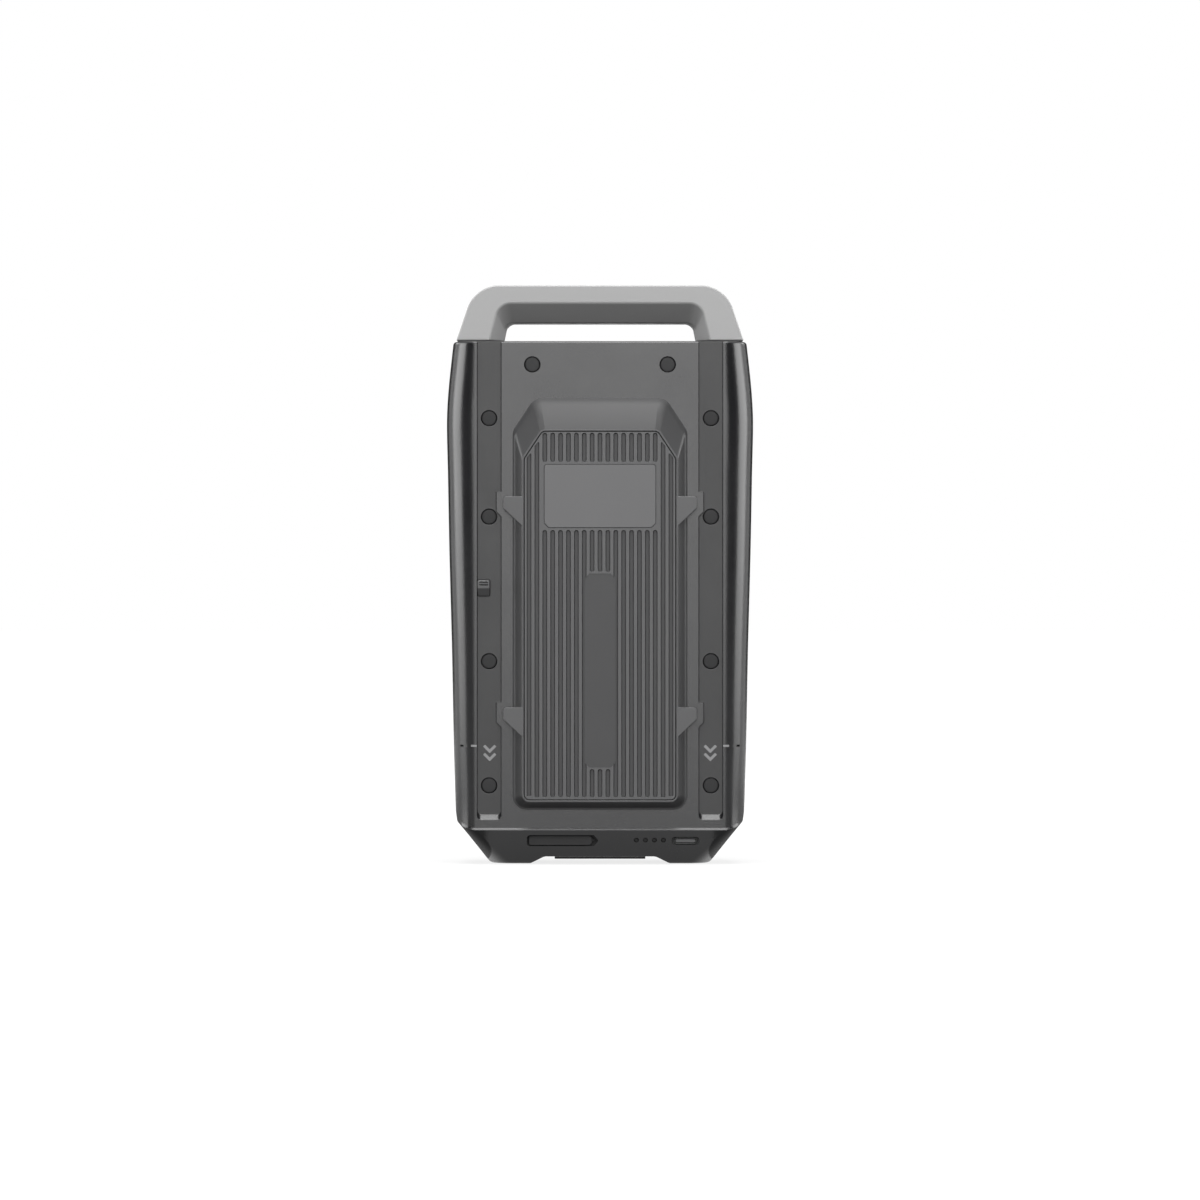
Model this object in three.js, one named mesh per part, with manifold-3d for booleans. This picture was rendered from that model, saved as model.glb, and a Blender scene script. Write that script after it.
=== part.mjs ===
// Portable power station: a slide-in battery pack with a fixed carry handle.
// Millimetres. +X is right, +Y is back, +Z is up, and the pack stands on Z = 0.
import * as THREE from "three";
import { mergeVertices } from "three/addons/utils/BufferGeometryUtils.js";
import Module from "manifold-3d";

const wasm = await Module();
wasm.setup();

// Fits and working values
const seatGap = 0.3; // between two pieces that seat on each other
const overrun = 2; // how far a cutter runs past what it cuts
const weldTolerance = 0.0001;
const arcSteps = 3; // facets of an outline corner
const coarseArcSteps = 2; // facets of a small corner
const slotArcSteps = 1; // facets of a groove's end
const fineArcSteps = 5; // facets of a large corner
const roundSides = 12; // facets of a plug and its bore
const bossSides = 10; // facets of a boss, a post, a screw or a cell
const leastRadius = 0.3; // corners that are sharp on the real pack
const blendShare = 0.29; // sag of a softened edge, as a share of its size
const pillShare = 0.96; // corner radius of a pill end, as a share of its half height

// Body envelope
const bodyHeight = 319;
const bodyWidth = 187.6;
const bodyDepth = 78;
const blockRise = 8; // the ribbed block stands this far in front of the main face
const wall = 2.8;
const faceFlatWidth = 151; // flat part of the main face
const frontCornerDepth = 20;
const rearFlatWidth = 132;
const rearCornerDepth = 23;
const topEdgeRadius = 1.6;
const partingShare = 0.5; // where the two shells meet, as a share of the depth

// Tapered base that leads the pack into its bay
const baseWidth = 134.6;
const baseFlatWidth = 108;
const baseFlareHeight = 27;
const baseEdgeHeight = 21.3;
const frontInclineDepth = 13;
const rearInclineDepth = 9;
const edgeBlend = 1.6; // half the height of the soft edge over the incline
const archFootWidth = 84.6;
const archRoofWidth = 66;
const archHeight = 4.3;

// Shallow dish in the top, under the handle
const dishWidth = 112;
const dishDepth = 10;
const dishFrontLand = 5; // top edge left standing behind the main face
const dishSteps = 8;

// Height and half width of the flank, as shares of the body's
const flankShares = [
  [0.22, 0.9545],
  [0.41, 0.967],
  [0.6, 0.984],
  [0.752, 0.9936],
  [0.846, 1],
  [0.906, 0.99],
  [0.981, 0.9638],
];
const topHalfWidthShare = 0.956;
const flareHalfWidthShare = 0.9414;

// Guide channels down both sides of the main face
const channelInner = 60.3;
const channelWidth = 14.6;
const channelDepth = 3;
const channelFoot = 27.1;
const channelCorner = 2.5;
const channelWall = 2.4;
const islandWidth = 3; // step in the channel's inner edge beside each hook ear
const islandAbove = 2.9; // island's top above the ear's top
const islandBelow = 9.2; // island's straight end below the ear's top
const islandRadius = 0.6;

// Raised ribbed block
const blockFootWidth = 104.6;
const blockFootLow = 34.1;
const blockTopDrop = 35.8; // from the body's top to the block's upper foot edge
const blockSideRun = 4.9; // slope of the block, foot to top face
const blockLowRun = 4;
const blockHighRun = 18.2;
const blockChamferWide = 12.8;
const blockChamferTall = 19.4;
const blockFootRadius = 7.5;
const blockTopRadius = 4.5;
const blockEdge = 0.8;
const coverWall = 2.4;
const coverFlange = 4;
const coverFlangeThick = 2;

// Hook ears on the block
const earReach = 58.8;
const earThick = 3;
const earHeight = 18.1;
const earStraight = 7.3;
const earRadius = 1.5;
const earBite = 3; // how far the ear's root runs into the block
const earTopShares = [0.7028, 0.3]; // of the body's height

// Ribbed insert in the block's top face
const insertRim = 1.4;
const insertSeatDepth = 2.5;
const grooveCount = 19;
const groovePitch = 4.8;
const grooveWidth = 2.6;
const grooveDepth = 1.2;
const grooveRadius = 1;
const grooveLowMargin = 2.9; // from the edge of the block's top face
const grooveHighMargin = 2.2;
const labelHalfWidth = 34.2;
const labelHeight = 38.9;
const labelDrop = 21.2; // from the edge of the block's top face
const labelRecess = 1;
const labelSink = 0.1; // label's face behind the tops of the ribs
const labelRadius = 1.8;
const labelMargin = 1; // groove ends stop this far from the label
const padHalfWidth = 9.5;
const padHeight = 118.1;
const padRise = 21;
const padRecess = 0.4;
const padRadius = 1.5;

// Fasteners that join the shells, under push-in plugs
const sideScrewX = 67.7;
const sideScrewShares = [0.8527, 0.6643, 0.3878, 0.1502]; // of the body's height
const topScrewX = 41.3;
const topScrewDrop = 14.3;
const plugBoreRadius = 4.8;
const plugThick = 3;
const plugSink = 0.4;
const plugChamfer = 0.5;
const screwSeatDepth = 14; // from the face down to the screw's seat
const screwHeadRadius = 3.9;
const screwHeadHeight = 2.8;
const screwRadius = 2;
const screwLength = 38;
const plugBossWall = 1.7;
const pilotBossWall = 2.5;
const bossRoot = 1; // how far a boss runs into the wall it grows from
const pilotExtra = 2; // pilot bore past the screw's tip

// Carry handle
const handleGap = 1; // shadow gap between the handle and the body
const handleRise = 34;
const handleDepth = 38;
const handleFootInset = 5.7; // from the body's widest point
const handleRake = 0.34; // sideways run of the leg for each unit of height
const handleCorner = 18;
const handleEdge = 1.2;
const handleFootRadius = 1.5;
const barFaceHeight = 11;
const barGripHeight = 23.4;
const legFaceWidth = 20.5;
const legBevelWidth = 7.1;
const legDraft = 1.9;
const gripBevelDepth = 12;
const gripRake = 0.245;
const gripCorner = 9;
const gripSag = 0.6; // rise of the bar's underside from its middle to its bevel
const throatCorner = 5.5;
const throatRake = 0.2;
const tenonInset = 14; // tenon centre from the handle's outer foot
const tenonWidth = 15;
const tenonDepth = 16;
const tenonDrop = 18;
const tenonRadius = 2;
const handleScrewDrop = 10;
const handleScrewRadius = 2.2;
const handleScrewHead = 4;
const handleScrewHeadHeight = 2.5;
const handleScrewLength = 32;

// Ports, lamps and button along the front incline
const portBarLeft = 52;
const portBarRight = 64;
const portBarTop = 20;
const portBarRear = 11.5; // bar's back face behind the main face's plane
const flapPocketLeft = -44.4;
const flapPocketRight = -1.3;
const flapPocketLow = 11.1;
const flapPocketHigh = 17.4;
const flapRight = -4.9;
const flapThick = 2.5;
const flapHinge = 2.15; // hinge line from the pocket's left end
const flapCorner = 1.7;
const flapNotch = 2.6;
const socketWidth = 9;
const socketHeight = 3.3;
const socketDepth = 7;
const socketShell = 0.5;
const socketTongue = 0.8;
const socketCentres = [-33, -14];
const lampPitch = 5.5;
const lampFirst = 22.2;
const lampCount = 4;
const lampHeight = 14.6;
const lampBoreRadius = 1.45;
const lampRadius = 1.15;
const lampSink = 0.8;
const lampRailThick = 2;
const lampRailHeight = 4;
const buttonCentre = 52.2;
const buttonPocketWidth = 16.8;
const buttonPocketLow = 11.6;
const buttonPocketHigh = 16.6;
const buttonPocketRadius = 1.2;
const buttonZ = 14.1;
const bezelWidth = 14;
const bezelHeight = 4;
const bezelWall = 0.6;
const bezelStand = 0.6; // bezel stands in front of its pocket
const buttonSink = 0.3;
const buttonLength = 6;
const buttonFlange = 0.8;
const buttonTravel = 0.6;
const switchWidth = 6;
const switchHeight = 3.6;
const switchPlunger = 1.6;
const boardThick = 1.6;
const frontBoardLow = 8.4;
const frontBoardHigh = 26;
const frontBoardPosts = [-48.5, 8];
const postRadius = 2.5;

// Spring catch in the left channel
const catchX = -70.9;
const catchWidth = 7.4;
const catchRadius = 1;
const catchLow = 163.5;
const catchTall = 9.8;
const catchProud = 5;
const catchFlange = 2;
const catchFlangeThick = 2;
const catchRamp = 4.6;
const catchHousingWall = 1.6;
const catchHousingDepth = 22;
const catchSpringRadius = 2.6;
const catchSpringWire = 0.5;
const catchSpringTurns = 4;
const coilSteps = 8; // steps of the wire in one turn
const wireSides = 5;

// Bay connector under the base
const dockY = 21;
const dockWidth = 56;
const dockDepth = 14;
const dockHeight = 15;
const dockClear = 1.4; // above the surface the pack stands on
const dockFlange = 4;
const dockFlangeThick = 2;
const dockSlots = 7;
const dockSlotPitch = 7;
const dockSlotWidth = 2.4;
const dockSlotLength = 9;
const dockSlotDepth = 10;

// Cells and their holders
const cellRadius = 13.1;
const cellLength = 70;
const cellColumns = 3;
const cellRows = 6;
const holderLow = 48.6;
const stripThick = 0.5;
const stripHeight = 8;
const stripBite = 0.1;
const holderWeb = 1;
const holderThick = 8;
const holderStripGap = 0.4;
const holderRim = 1.4;

// Battery management board
const packBoardWidth = 86;
const packBoardRise = 9.6; // from the cell holder's top to the board
const packBoardTall = 56;
const packBoardBehind = 11; // from the rear wall's inside to the board's back
const packBoardPostInset = 5;
const chokeRadius = 8;
const chokeHeight = 12;
const mosfetWidth = 10;
const mosfetTall = 9;
const mosfetThick = 4.5;
const mosfetCount = 4;
const mosfetPitch = 14;

// Places worked out from the sizes above
const halfWidth = bodyWidth / 2;
const frontY = -(bodyDepth + blockRise) / 2;
const faceY = frontY + blockRise;
const rearY = faceY + bodyDepth;
const partY = faceY + bodyDepth * partingShare;
const channelY = faceY + channelDepth;
const innerFaceY = faceY + wall;
const innerRearY = rearY - wall;
const floorZ = archHeight + wall;
const ceilingZ = bodyHeight - wall;
const halfGap = seatGap / 2;
const handleZ = bodyHeight + handleGap;
const handleTopZ = handleZ + handleRise;
const coverTopWall = coverWall + insertSeatDepth;
const coverInnerY = frontY + coverTopWall;
const channelBackY = channelY + channelWall;
const portBarY = faceY + portBarRear;
const handleFootHalf = halfWidth - handleFootInset;
const tenonX = handleFootHalf - tenonInset;
const tenonRear = partY + tenonDepth / 2 + seatGap;
const handleScrewZ = bodyHeight - handleScrewDrop;
const handleScrewTip = tenonRear - handleScrewLength;
const flapMiddle = (flapPocketLow + flapPocketHigh) / 2;
const flapHingeX = flapPocketLeft + flapHinge;
const padLow = blockFootLow + blockLowRun + padRise;
const labelHigh = bodyHeight - blockTopDrop - blockHighRun - labelDrop;
const packY = (coverInnerY + innerRearY) / 2;
const packBoardBackY = innerRearY - packBoardBehind;
const plugRadius = plugBoreRadius - seatGap;
const pilotRadius = screwRadius + seatGap;
const handlePilotRadius = handleScrewRadius + seatGap;
const frontBossRadius = plugBoreRadius + plugBossWall;
const rearBossRadius = pilotRadius + pilotBossWall;
const handleBossRadius = handlePilotRadius + pilotBossWall;
const holderMargin = cellRadius + seatGap + holderWeb; // cell's axis to the holder's edge
const cellPitch = 2 * (cellRadius + seatGap) + holderWeb;
const cellLowCentre = holderLow + holderMargin;
const holderHigh = cellLowCentre + (cellRows - 1) * cellPitch + holderMargin;
const packBoardLow = holderHigh + packBoardRise;

// Solids from geometry

// Turns a closed geometry into a solid whose faces point outwards.
function solidOf(geometry) {
  const bare = new THREE.BufferGeometry();
  bare.setAttribute("position", geometry.getAttribute("position"));
  bare.setIndex(geometry.index);
  const merged = mergeVertices(bare, weldTolerance);
  const corners = Array.from(merged.index.array);
  const facets = [];
  for (let i = 0; i < corners.length; i += 3) {
    const [a, b, c] = corners.slice(i, i + 3);
    if (a !== b && b !== c && c !== a) facets.push([a, b, c]);
  }
  const build = (list) =>
    new wasm.Manifold(
      new wasm.Mesh({
        numProp: 3,
        vertProperties: merged.getAttribute("position").array,
        triVerts: Uint32Array.from(list.flat()),
      }),
    );
  const solid = build(facets);
  if (solid.volume() > 0) return solid;
  return build(facets.map(([a, b, c]) => [c, b, a]));
}

// Joins a list of solids into one.
function joined(solids) {
  return solids.reduce((whole, next) => whole.add(next));
}

// Cuts every solid of a list from the first.
function cutFrom(solid, cutters) {
  return cutters.reduce((rest, cutter) => rest.subtract(cutter), solid);
}

// Triangles that close an outline, all turning the same way as the outline.
function capFacets(outline) {
  const turn = Math.sign(THREE.ShapeUtils.area(outline));
  return THREE.ShapeUtils.triangulateShape(outline, []).map(([a, b, c]) => {
    const area = THREE.ShapeUtils.area([outline[a], outline[b], outline[c]]);
    return Math.sign(area) === turn ? [a, b, c] : [c, b, a];
  });
}

// Skins a row of outlines with equal point counts and closes both ends.
// Each section is { at, outline }, and place maps a point and its station to space.
function loft(sections, place) {
  const count = sections[0].outline.length;
  const positions = [];
  const index = [];
  for (const { at, outline } of sections) {
    for (const point of outline) positions.push(...place(point, at));
  }
  for (let s = 0; s < sections.length - 1; s += 1) {
    for (let i = 0; i < count; i += 1) {
      const here = s * count + i;
      const next = s * count + ((i + 1) % count);
      index.push(here, next, next + count);
      index.push(here, next + count, here + count);
    }
  }
  const last = (sections.length - 1) * count;
  for (const [a, b, c] of capFacets(sections[0].outline)) index.push(c, b, a);
  for (const [a, b, c] of capFacets(sections.at(-1).outline)) {
    index.push(last + a, last + b, last + c);
  }
  const geometry = new THREE.BufferGeometry();
  geometry.setAttribute("position", new THREE.Float32BufferAttribute(positions, 3));
  geometry.setIndex(index);
  return solidOf(geometry);
}

const loftUp = (sections) => loft(sections, (p, z) => [p.x, p.y, z]);
const loftBack = (sections) => loft(sections, (p, y) => [p.x, y, p.y]);

// A straight prism along Y with an outline in X and Z.
function prism(outline, fromY, toY) {
  return loftBack([
    { at: fromY, outline },
    { at: toY, outline },
  ]);
}

// A straight prism along Z with an outline in X and Y.
function column(outline, fromZ, toZ) {
  return loftUp([
    { at: fromZ, outline },
    { at: toZ, outline },
  ]);
}

// A box between two corners.
function block(low, high) {
  const size = high.map((value, i) => value - low[i]);
  const centre = high.map((value, i) => (value + low[i]) / 2);
  return solidOf(new THREE.BoxGeometry(...size).translate(...centre));
}

// A round bar along Y.
function bar(radius, x, z, fromY, toY, sides = bossSides) {
  const length = toY - fromY;
  const geometry = new THREE.CylinderGeometry(radius, radius, length, sides);
  return solidOf(geometry.translate(x, (fromY + toY) / 2, z));
}

// A turned piece about Y, from its half section as [radius, y] pairs.
function turned(profile, sides) {
  const points = profile.map(([radius, y]) => new THREE.Vector2(radius, y));
  return solidOf(new THREE.LatheGeometry(points, sides));
}

// Outlines

// A closed outline with an arc at each corner, from [x, y, radius] rows.
function rounded(corners, steps = arcSteps) {
  const points = [];
  corners.forEach(([x, y, radius], i) => {
    const here = new THREE.Vector2(x, y);
    const before = corners.at(i - 1);
    const after = corners[(i + 1) % corners.length];
    const back = new THREE.Vector2(before[0] - x, before[1] - y).normalize();
    const on = new THREE.Vector2(after[0] - x, after[1] - y).normalize();
    const half = Math.acos(back.dot(on)) / 2;
    const reach = radius / Math.tan(half);
    const middle = back.clone().add(on).normalize();
    const centre = here.clone().addScaledVector(middle, radius / Math.sin(half));
    const start = here.clone().addScaledVector(back, reach).sub(centre);
    const end = here.clone().addScaledVector(on, reach).sub(centre);
    const turn = Math.atan2(start.cross(end), start.dot(end));
    for (let step = 0; step <= steps; step += 1) {
      const angle = (turn * step) / steps;
      points.push(start.clone().rotateAround(new THREE.Vector2(), angle).add(centre));
    }
  });
  return points;
}

// A rectangle with rounded corners.
function roundedBox(left, low, right, high, radius, steps = arcSteps) {
  return rounded(
    [
      [left, low, radius],
      [right, low, radius],
      [right, high, radius],
      [left, high, radius],
    ],
    steps,
  );
}

// Moves every edge of a counter-clockwise row of corners outwards, radii with it.
function grown(corners, by) {
  const normal = (from, to) => {
    return new THREE.Vector2(to[1] - from[1], from[0] - to[0]).normalize();
  };
  return corners.map((corner, i) => {
    const before = normal(corners.at(i - 1), corner);
    const after = normal(corner, corners[(i + 1) % corners.length]);
    const shift = by / (1 + before.dot(after));
    const x = corner[0] + (before.x + after.x) * shift;
    const y = corner[1] + (before.y + after.y) * shift;
    return [x, y, Math.max(corner[2] + by, leastRadius)];
  });
}

// Mirrors an outline to the other side of the pack.
function sided(outline, side) {
  return outline.map((point) => new THREE.Vector2(point.x * side, point.y));
}

// Value of a profile of [z, value] rows at a height.
function valueAt(profile, z) {
  const above = profile.findIndex(([height]) => height >= z);
  if (above <= 0) return profile[Math.max(above, 0)][1];
  const [lowZ, lowValue] = profile[above - 1];
  const [highZ, highValue] = profile[above];
  return THREE.MathUtils.mapLinear(z, lowZ, highZ, lowValue, highValue);
}

// Body form

// Profile of a face that leans in below an edge, with the edge softened.
function leaningFace(baseValue, faceValue) {
  const lean = (faceValue - baseValue) / baseEdgeHeight;
  return [
    [0, baseValue],
    [baseEdgeHeight - edgeBlend, faceValue - lean * edgeBlend],
    [baseEdgeHeight, faceValue - lean * edgeBlend * blendShare],
    [baseEdgeHeight + edgeBlend, faceValue],
    [bodyHeight, faceValue],
  ];
}

// Half width of the pack at each height, with the edge of the flare softened.
function flankOutline() {
  const baseHalf = baseWidth / 2;
  const flareHalf = halfWidth * flareHalfWidthShare;
  const lean = (flareHalf - baseHalf) / baseFlareHeight;
  return [
    [0, baseHalf],
    [baseFlareHeight - edgeBlend, flareHalf - lean * edgeBlend],
    [baseFlareHeight, flareHalf - lean * edgeBlend * blendShare],
    [baseFlareHeight + edgeBlend, flareHalf],
    ...flankShares.map(([height, half]) => [bodyHeight * height, halfWidth * half]),
    [bodyHeight, halfWidth * topHalfWidthShare],
  ];
}

// Half width of the flat part of the front or rear face.
function flatOutline(faceWidth) {
  return [
    [0, baseFlatWidth / 2],
    [baseEdgeHeight, faceWidth / 2],
    [bodyHeight, faceWidth / 2],
  ];
}

const frontProfile = leaningFace(faceY + frontInclineDepth, faceY);
const rearProfile = leaningFace(rearY - rearInclineDepth, rearY);
const flankProfile = flankOutline();
const frontFlatProfile = flatOutline(faceFlatWidth);
const rearFlatProfile = flatOutline(rearFlatWidth);
const stations = [...new Set([...frontProfile, ...flankProfile].map(([z]) => z))];
stations.sort((a, b) => a - b);

// Places that follow the front incline
const flapY = valueAt(frontProfile, flapPocketLow);
const flapBackY = flapY + flapThick;
const frontBoardY = flapBackY + seatGap + socketDepth + seatGap;
const buttonPocketY = valueAt(frontProfile, buttonPocketLow);
const bezelY = buttonPocketY - bezelStand;
const buttonFlangeY = bezelY + buttonSink + buttonLength;

// Cross section of the pack at a height, drawn in from the outside by an inset.
function bodyRing(z, inset, steps) {
  const half = valueAt(flankProfile, z) - inset;
  const frontFlat = valueAt(frontFlatProfile, z);
  const rearFlat = valueAt(rearFlatProfile, z);
  const frontCentre = valueAt(frontProfile, z) + frontCornerDepth;
  const rearCentre = valueAt(rearProfile, z) - rearCornerDepth;
  const right = [];
  for (let step = 0; step <= steps; step += 1) {
    const angle = (step / steps) * (Math.PI / 2);
    const x = frontFlat + (half - frontFlat) * Math.sin(angle);
    const y = frontCentre - (frontCornerDepth - inset) * Math.cos(angle);
    right.push(new THREE.Vector2(x, y));
  }
  for (let step = 0; step <= steps; step += 1) {
    const angle = (step / steps) * (Math.PI / 2);
    const x = rearFlat + (half - rearFlat) * Math.cos(angle);
    const y = rearCentre + (rearCornerDepth - inset) * Math.sin(angle);
    right.push(new THREE.Vector2(x, y));
  }
  return [...right, ...sided(right, -1).reverse()];
}

// The whole outside of the body, with its rounded top edge.
function bodyOutside() {
  const sections = stations
    .filter((z) => z < bodyHeight - topEdgeRadius)
    .map((z) => ({ at: z, outline: bodyRing(z, 0, fineArcSteps) }));
  for (let step = 0; step <= arcSteps; step += 1) {
    const angle = (step / arcSteps) * (Math.PI / 2);
    const z = bodyHeight - topEdgeRadius * (1 - Math.sin(angle));
    const inset = topEdgeRadius * (1 - Math.cos(angle));
    sections.push({ at: z, outline: bodyRing(z, inset, fineArcSteps) });
  }
  return loftUp(sections);
}

// The dish in the top, as an arc that a margin can push outwards.
function dishOutline(margin) {
  const halfChord = dishWidth / 2;
  const radius = (halfChord ** 2 + dishDepth ** 2) / (2 * dishDepth);
  const centreZ = bodyHeight - dishDepth + radius;
  const sweep = Math.acos((radius - dishDepth - overrun) / (radius + margin));
  const points = [];
  for (let step = 0; step <= dishSteps; step += 1) {
    const angle = sweep * ((2 * step) / dishSteps - 1);
    const x = (radius + margin) * Math.sin(angle);
    const z = centreZ - (radius + margin) * Math.cos(angle);
    points.push(new THREE.Vector2(x, z));
  }
  return points;
}

// The room inside the body, less what the front shell keeps solid.
function bodyInside() {
  const heights = stations.filter((z) => z > floorZ && z < ceilingZ);
  const sections = [floorZ, ...heights, ceilingZ].map((z) => {
    return { at: z, outline: bodyRing(z, wall, arcSteps) };
  });
  const channelBacking = (side) => {
    const inner = side * (channelInner - wall);
    const outer = side * (channelInner + channelWidth + wall);
    const [left, right] = [inner, outer].sort((a, b) => a - b);
    return block([left, faceY, 0], [right, channelBackY, bodyHeight]);
  };
  const portBar = block([-portBarLeft, faceY, 0], [portBarRight, portBarY, portBarTop]);
  const dishFloor = prism(dishOutline(wall), faceY, rearY);
  return cutFrom(loftUp(sections), [
    channelBacking(-1),
    channelBacking(1),
    portBar,
    dishFloor,
  ]);
}

// A slice of everything between two planes across Y.
function slab(fromY, toY) {
  const far = bodyHeight + bodyWidth;
  return block([-far, fromY, -far], [far, toY, far]);
}

// Guide channel, open at the top, with a ramp at its foot.
function channelCutter(side) {
  const outer = channelInner + channelWidth;
  const island = channelInner + islandWidth;
  const top = bodyHeight + overrun;
  const outline = (foot) => {
    const corners = [
      [channelInner, foot, channelCorner],
      [outer, foot, channelCorner],
      [outer, top, leastRadius],
      [channelInner, top, leastRadius],
    ];
    for (const share of earTopShares) {
      const earTop = bodyHeight * share;
      const low = earTop - islandBelow;
      corners.push([channelInner, earTop + islandAbove, islandRadius]);
      corners.push([island, earTop + islandAbove, islandRadius]);
      corners.push([island, low, islandRadius]);
      corners.push([channelInner, low - islandWidth, islandRadius]);
    }
    return sided(rounded(corners, slotArcSteps), side);
  };
  return loftBack([
    { at: faceY - overrun, outline: outline(channelFoot) },
    { at: faceY, outline: outline(channelFoot) },
    { at: channelY, outline: outline(channelFoot + channelDepth) },
  ]);
}

// The ten places where a screw joins the shells: { x, z, y of the face around it }.
function screwPlaces() {
  const top = bodyHeight - topScrewDrop;
  const sides = sideScrewShares.map((share) => bodyHeight * share);
  return [-1, 1].flatMap((side) => [
    { x: side * topScrewX, y: faceY, z: top },
    ...sides.map((z) => ({ x: side * sideScrewX, y: channelY, z })),
  ]);
}

// Tenon of the handle, seen from above.
function tenonOutline(side, grow) {
  const x = side * tenonX;
  const halfWide = tenonWidth / 2 + grow;
  const halfDeep = tenonDepth / 2 + grow;
  const radius = tenonRadius + grow;
  return roundedBox(x - halfWide, partY - halfDeep, x + halfWide, partY + halfDeep, radius);
}

// Openings in the top that let the handle's tenons in.
function tenonOpenings() {
  return [-1, 1].map((side) => {
    return column(tenonOutline(side, seatGap), ceilingZ - overrun, bodyHeight + overrun);
  });
}

// Arch under the base, right through from front to back.
function archCutter() {
  const foot = archFootWidth / 2;
  const roof = archRoofWidth / 2;
  const outline = rounded([
    [-foot, -overrun, leastRadius],
    [foot, -overrun, leastRadius],
    [foot, 0, archHeight / 2],
    [roof, archHeight, archHeight],
    [-roof, archHeight, archHeight],
    [-foot, 0, archHeight / 2],
  ]);
  return prism(outline, frontY, rearY + overrun);
}

// Block outlines

// Corners of the raised block at its foot, where it meets the main face.
function blockFootCorners() {
  const half = blockFootWidth / 2;
  const high = bodyHeight - blockTopDrop;
  return blockCorners(half, blockFootLow, high, 1, blockFootRadius);
}

// Corners of the raised block's top face.
function blockTopCorners() {
  const half = blockFootWidth / 2 - blockSideRun;
  const low = blockFootLow + blockLowRun;
  const high = bodyHeight - blockTopDrop - blockHighRun;
  return blockCorners(half, low, high, half / (half + blockSideRun), blockTopRadius);
}

// A rectangle with two cut upper corners, the cut scaled by a share.
function blockCorners(half, low, high, cutShare, radius) {
  const wide = blockChamferWide * cutShare;
  const tall = blockChamferTall * cutShare;
  return [
    [-half, low, radius],
    [half, low, radius],
    [half, high - tall, radius],
    [half - wide, high, radius],
    [wide - half, high, radius],
    [-half, high - tall, radius],
  ];
}

// Corners part of the way from one outline to another.
function between(from, to, share) {
  return from.map((corner, i) => {
    return corner.map((value, k) => THREE.MathUtils.lerp(value, to[i][k], share));
  });
}

// Front shell

function frontShell() {
  const places = screwPlaces();
  let shell = bodyOutside().subtract(bodyInside()).intersect(slab(frontY, partY - halfGap));
  const bosses = places.map(({ x, y, z }) => {
    return bar(frontBossRadius, x, z, y + bossRoot, partY - halfGap);
  });
  const tenonFront = partY - tenonDepth / 2 - seatGap;
  const handleBosses = [-1, 1].map((side) => {
    return bar(handleBossRadius, side * tenonX, handleScrewZ, faceY + bossRoot, tenonFront);
  });
  const boardPosts = frontBoardPosts.map((x) => {
    return bar(postRadius, x, flapMiddle, portBarY - bossRoot, frontBoardY - seatGap);
  });
  shell = joined([shell, ...bosses, ...handleBosses, ...boardPosts]);
  const bores = places.flatMap(({ x, y, z }) => [
    bar(plugBoreRadius, x, z, y - overrun, y + screwSeatDepth, roundSides),
    bar(pilotRadius, x, z, y, partY + overrun),
  ]);
  const handlePilots = [-1, 1].map((side) => {
    const end = handleScrewTip - pilotExtra;
    return bar(handlePilotRadius, side * tenonX, handleScrewZ, end, partY);
  });
  const coverOpening = prism(
    rounded(grown(blockFootCorners(), seatGap)),
    faceY - overrun,
    innerFaceY + overrun,
  );
  return cutFrom(shell, [
    channelCutter(-1),
    channelCutter(1),
    archCutter(),
    prism(dishOutline(0), faceY + dishFrontLand, rearY + overrun),
    coverOpening,
    catchWindow(),
    ...bores,
    ...handlePilots,
    ...portCutters(),
    ...tenonOpenings(),
  ]);
}

// Pocket, socket slots, lamp bores and button hole in the front incline.
function portCutters() {
  const behind = portBarY + overrun;
  const sockets = socketCentres.map((x) => {
    const outline = socketOutline(x, seatGap);
    return prism(outline, flapY, behind);
  });
  const lamps = lampPlaces().map((x) => {
    return bar(lampBoreRadius, x, lampHeight, faceY - overrun, behind);
  });
  const pocket = roundedBox(
    buttonCentre - buttonPocketWidth / 2,
    buttonPocketLow,
    buttonCentre + buttonPocketWidth / 2,
    buttonPocketHigh,
    buttonPocketRadius,
  );
  return [
    prism(flapPocketOutline(), faceY - overrun, flapBackY + seatGap),
    prism(pocket, faceY - overrun, buttonPocketY),
    prism(pill(bezelWidth, bezelHeight, seatGap), faceY, behind),
    ...sockets,
    ...lamps,
  ];
}

// Pocket of the flap, with a pointed finger notch at its right end.
function flapPocketOutline() {
  const shoulder = flapPocketRight - flapNotch;
  return rounded([
    [flapPocketLeft, flapPocketLow, flapCorner],
    [shoulder, flapPocketLow, leastRadius],
    [flapPocketRight, flapMiddle, leastRadius],
    [shoulder, flapPocketHigh, leastRadius],
    [flapPocketLeft, flapPocketHigh, flapCorner],
  ]);
}

// Mouth of a socket, grown by its clearance.
function socketOutline(x, grow) {
  const half = socketWidth / 2 + grow;
  const tall = socketHeight / 2 + grow;
  return roundedBox(x - half, flapMiddle - tall, x + half, flapMiddle + tall, tall * pillShare);
}

// A pill shape around the button's centre, grown by its clearance.
function pill(width, height, grow) {
  const half = width / 2 + grow;
  const tall = height / 2 + grow;
  const left = buttonCentre - half;
  const right = buttonCentre + half;
  return roundedBox(left, buttonZ - tall, right, buttonZ + tall, tall * pillShare);
}

function lampPlaces() {
  return Array.from({ length: lampCount }, (_, i) => lampFirst + i * lampPitch);
}

// Rear shell

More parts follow.
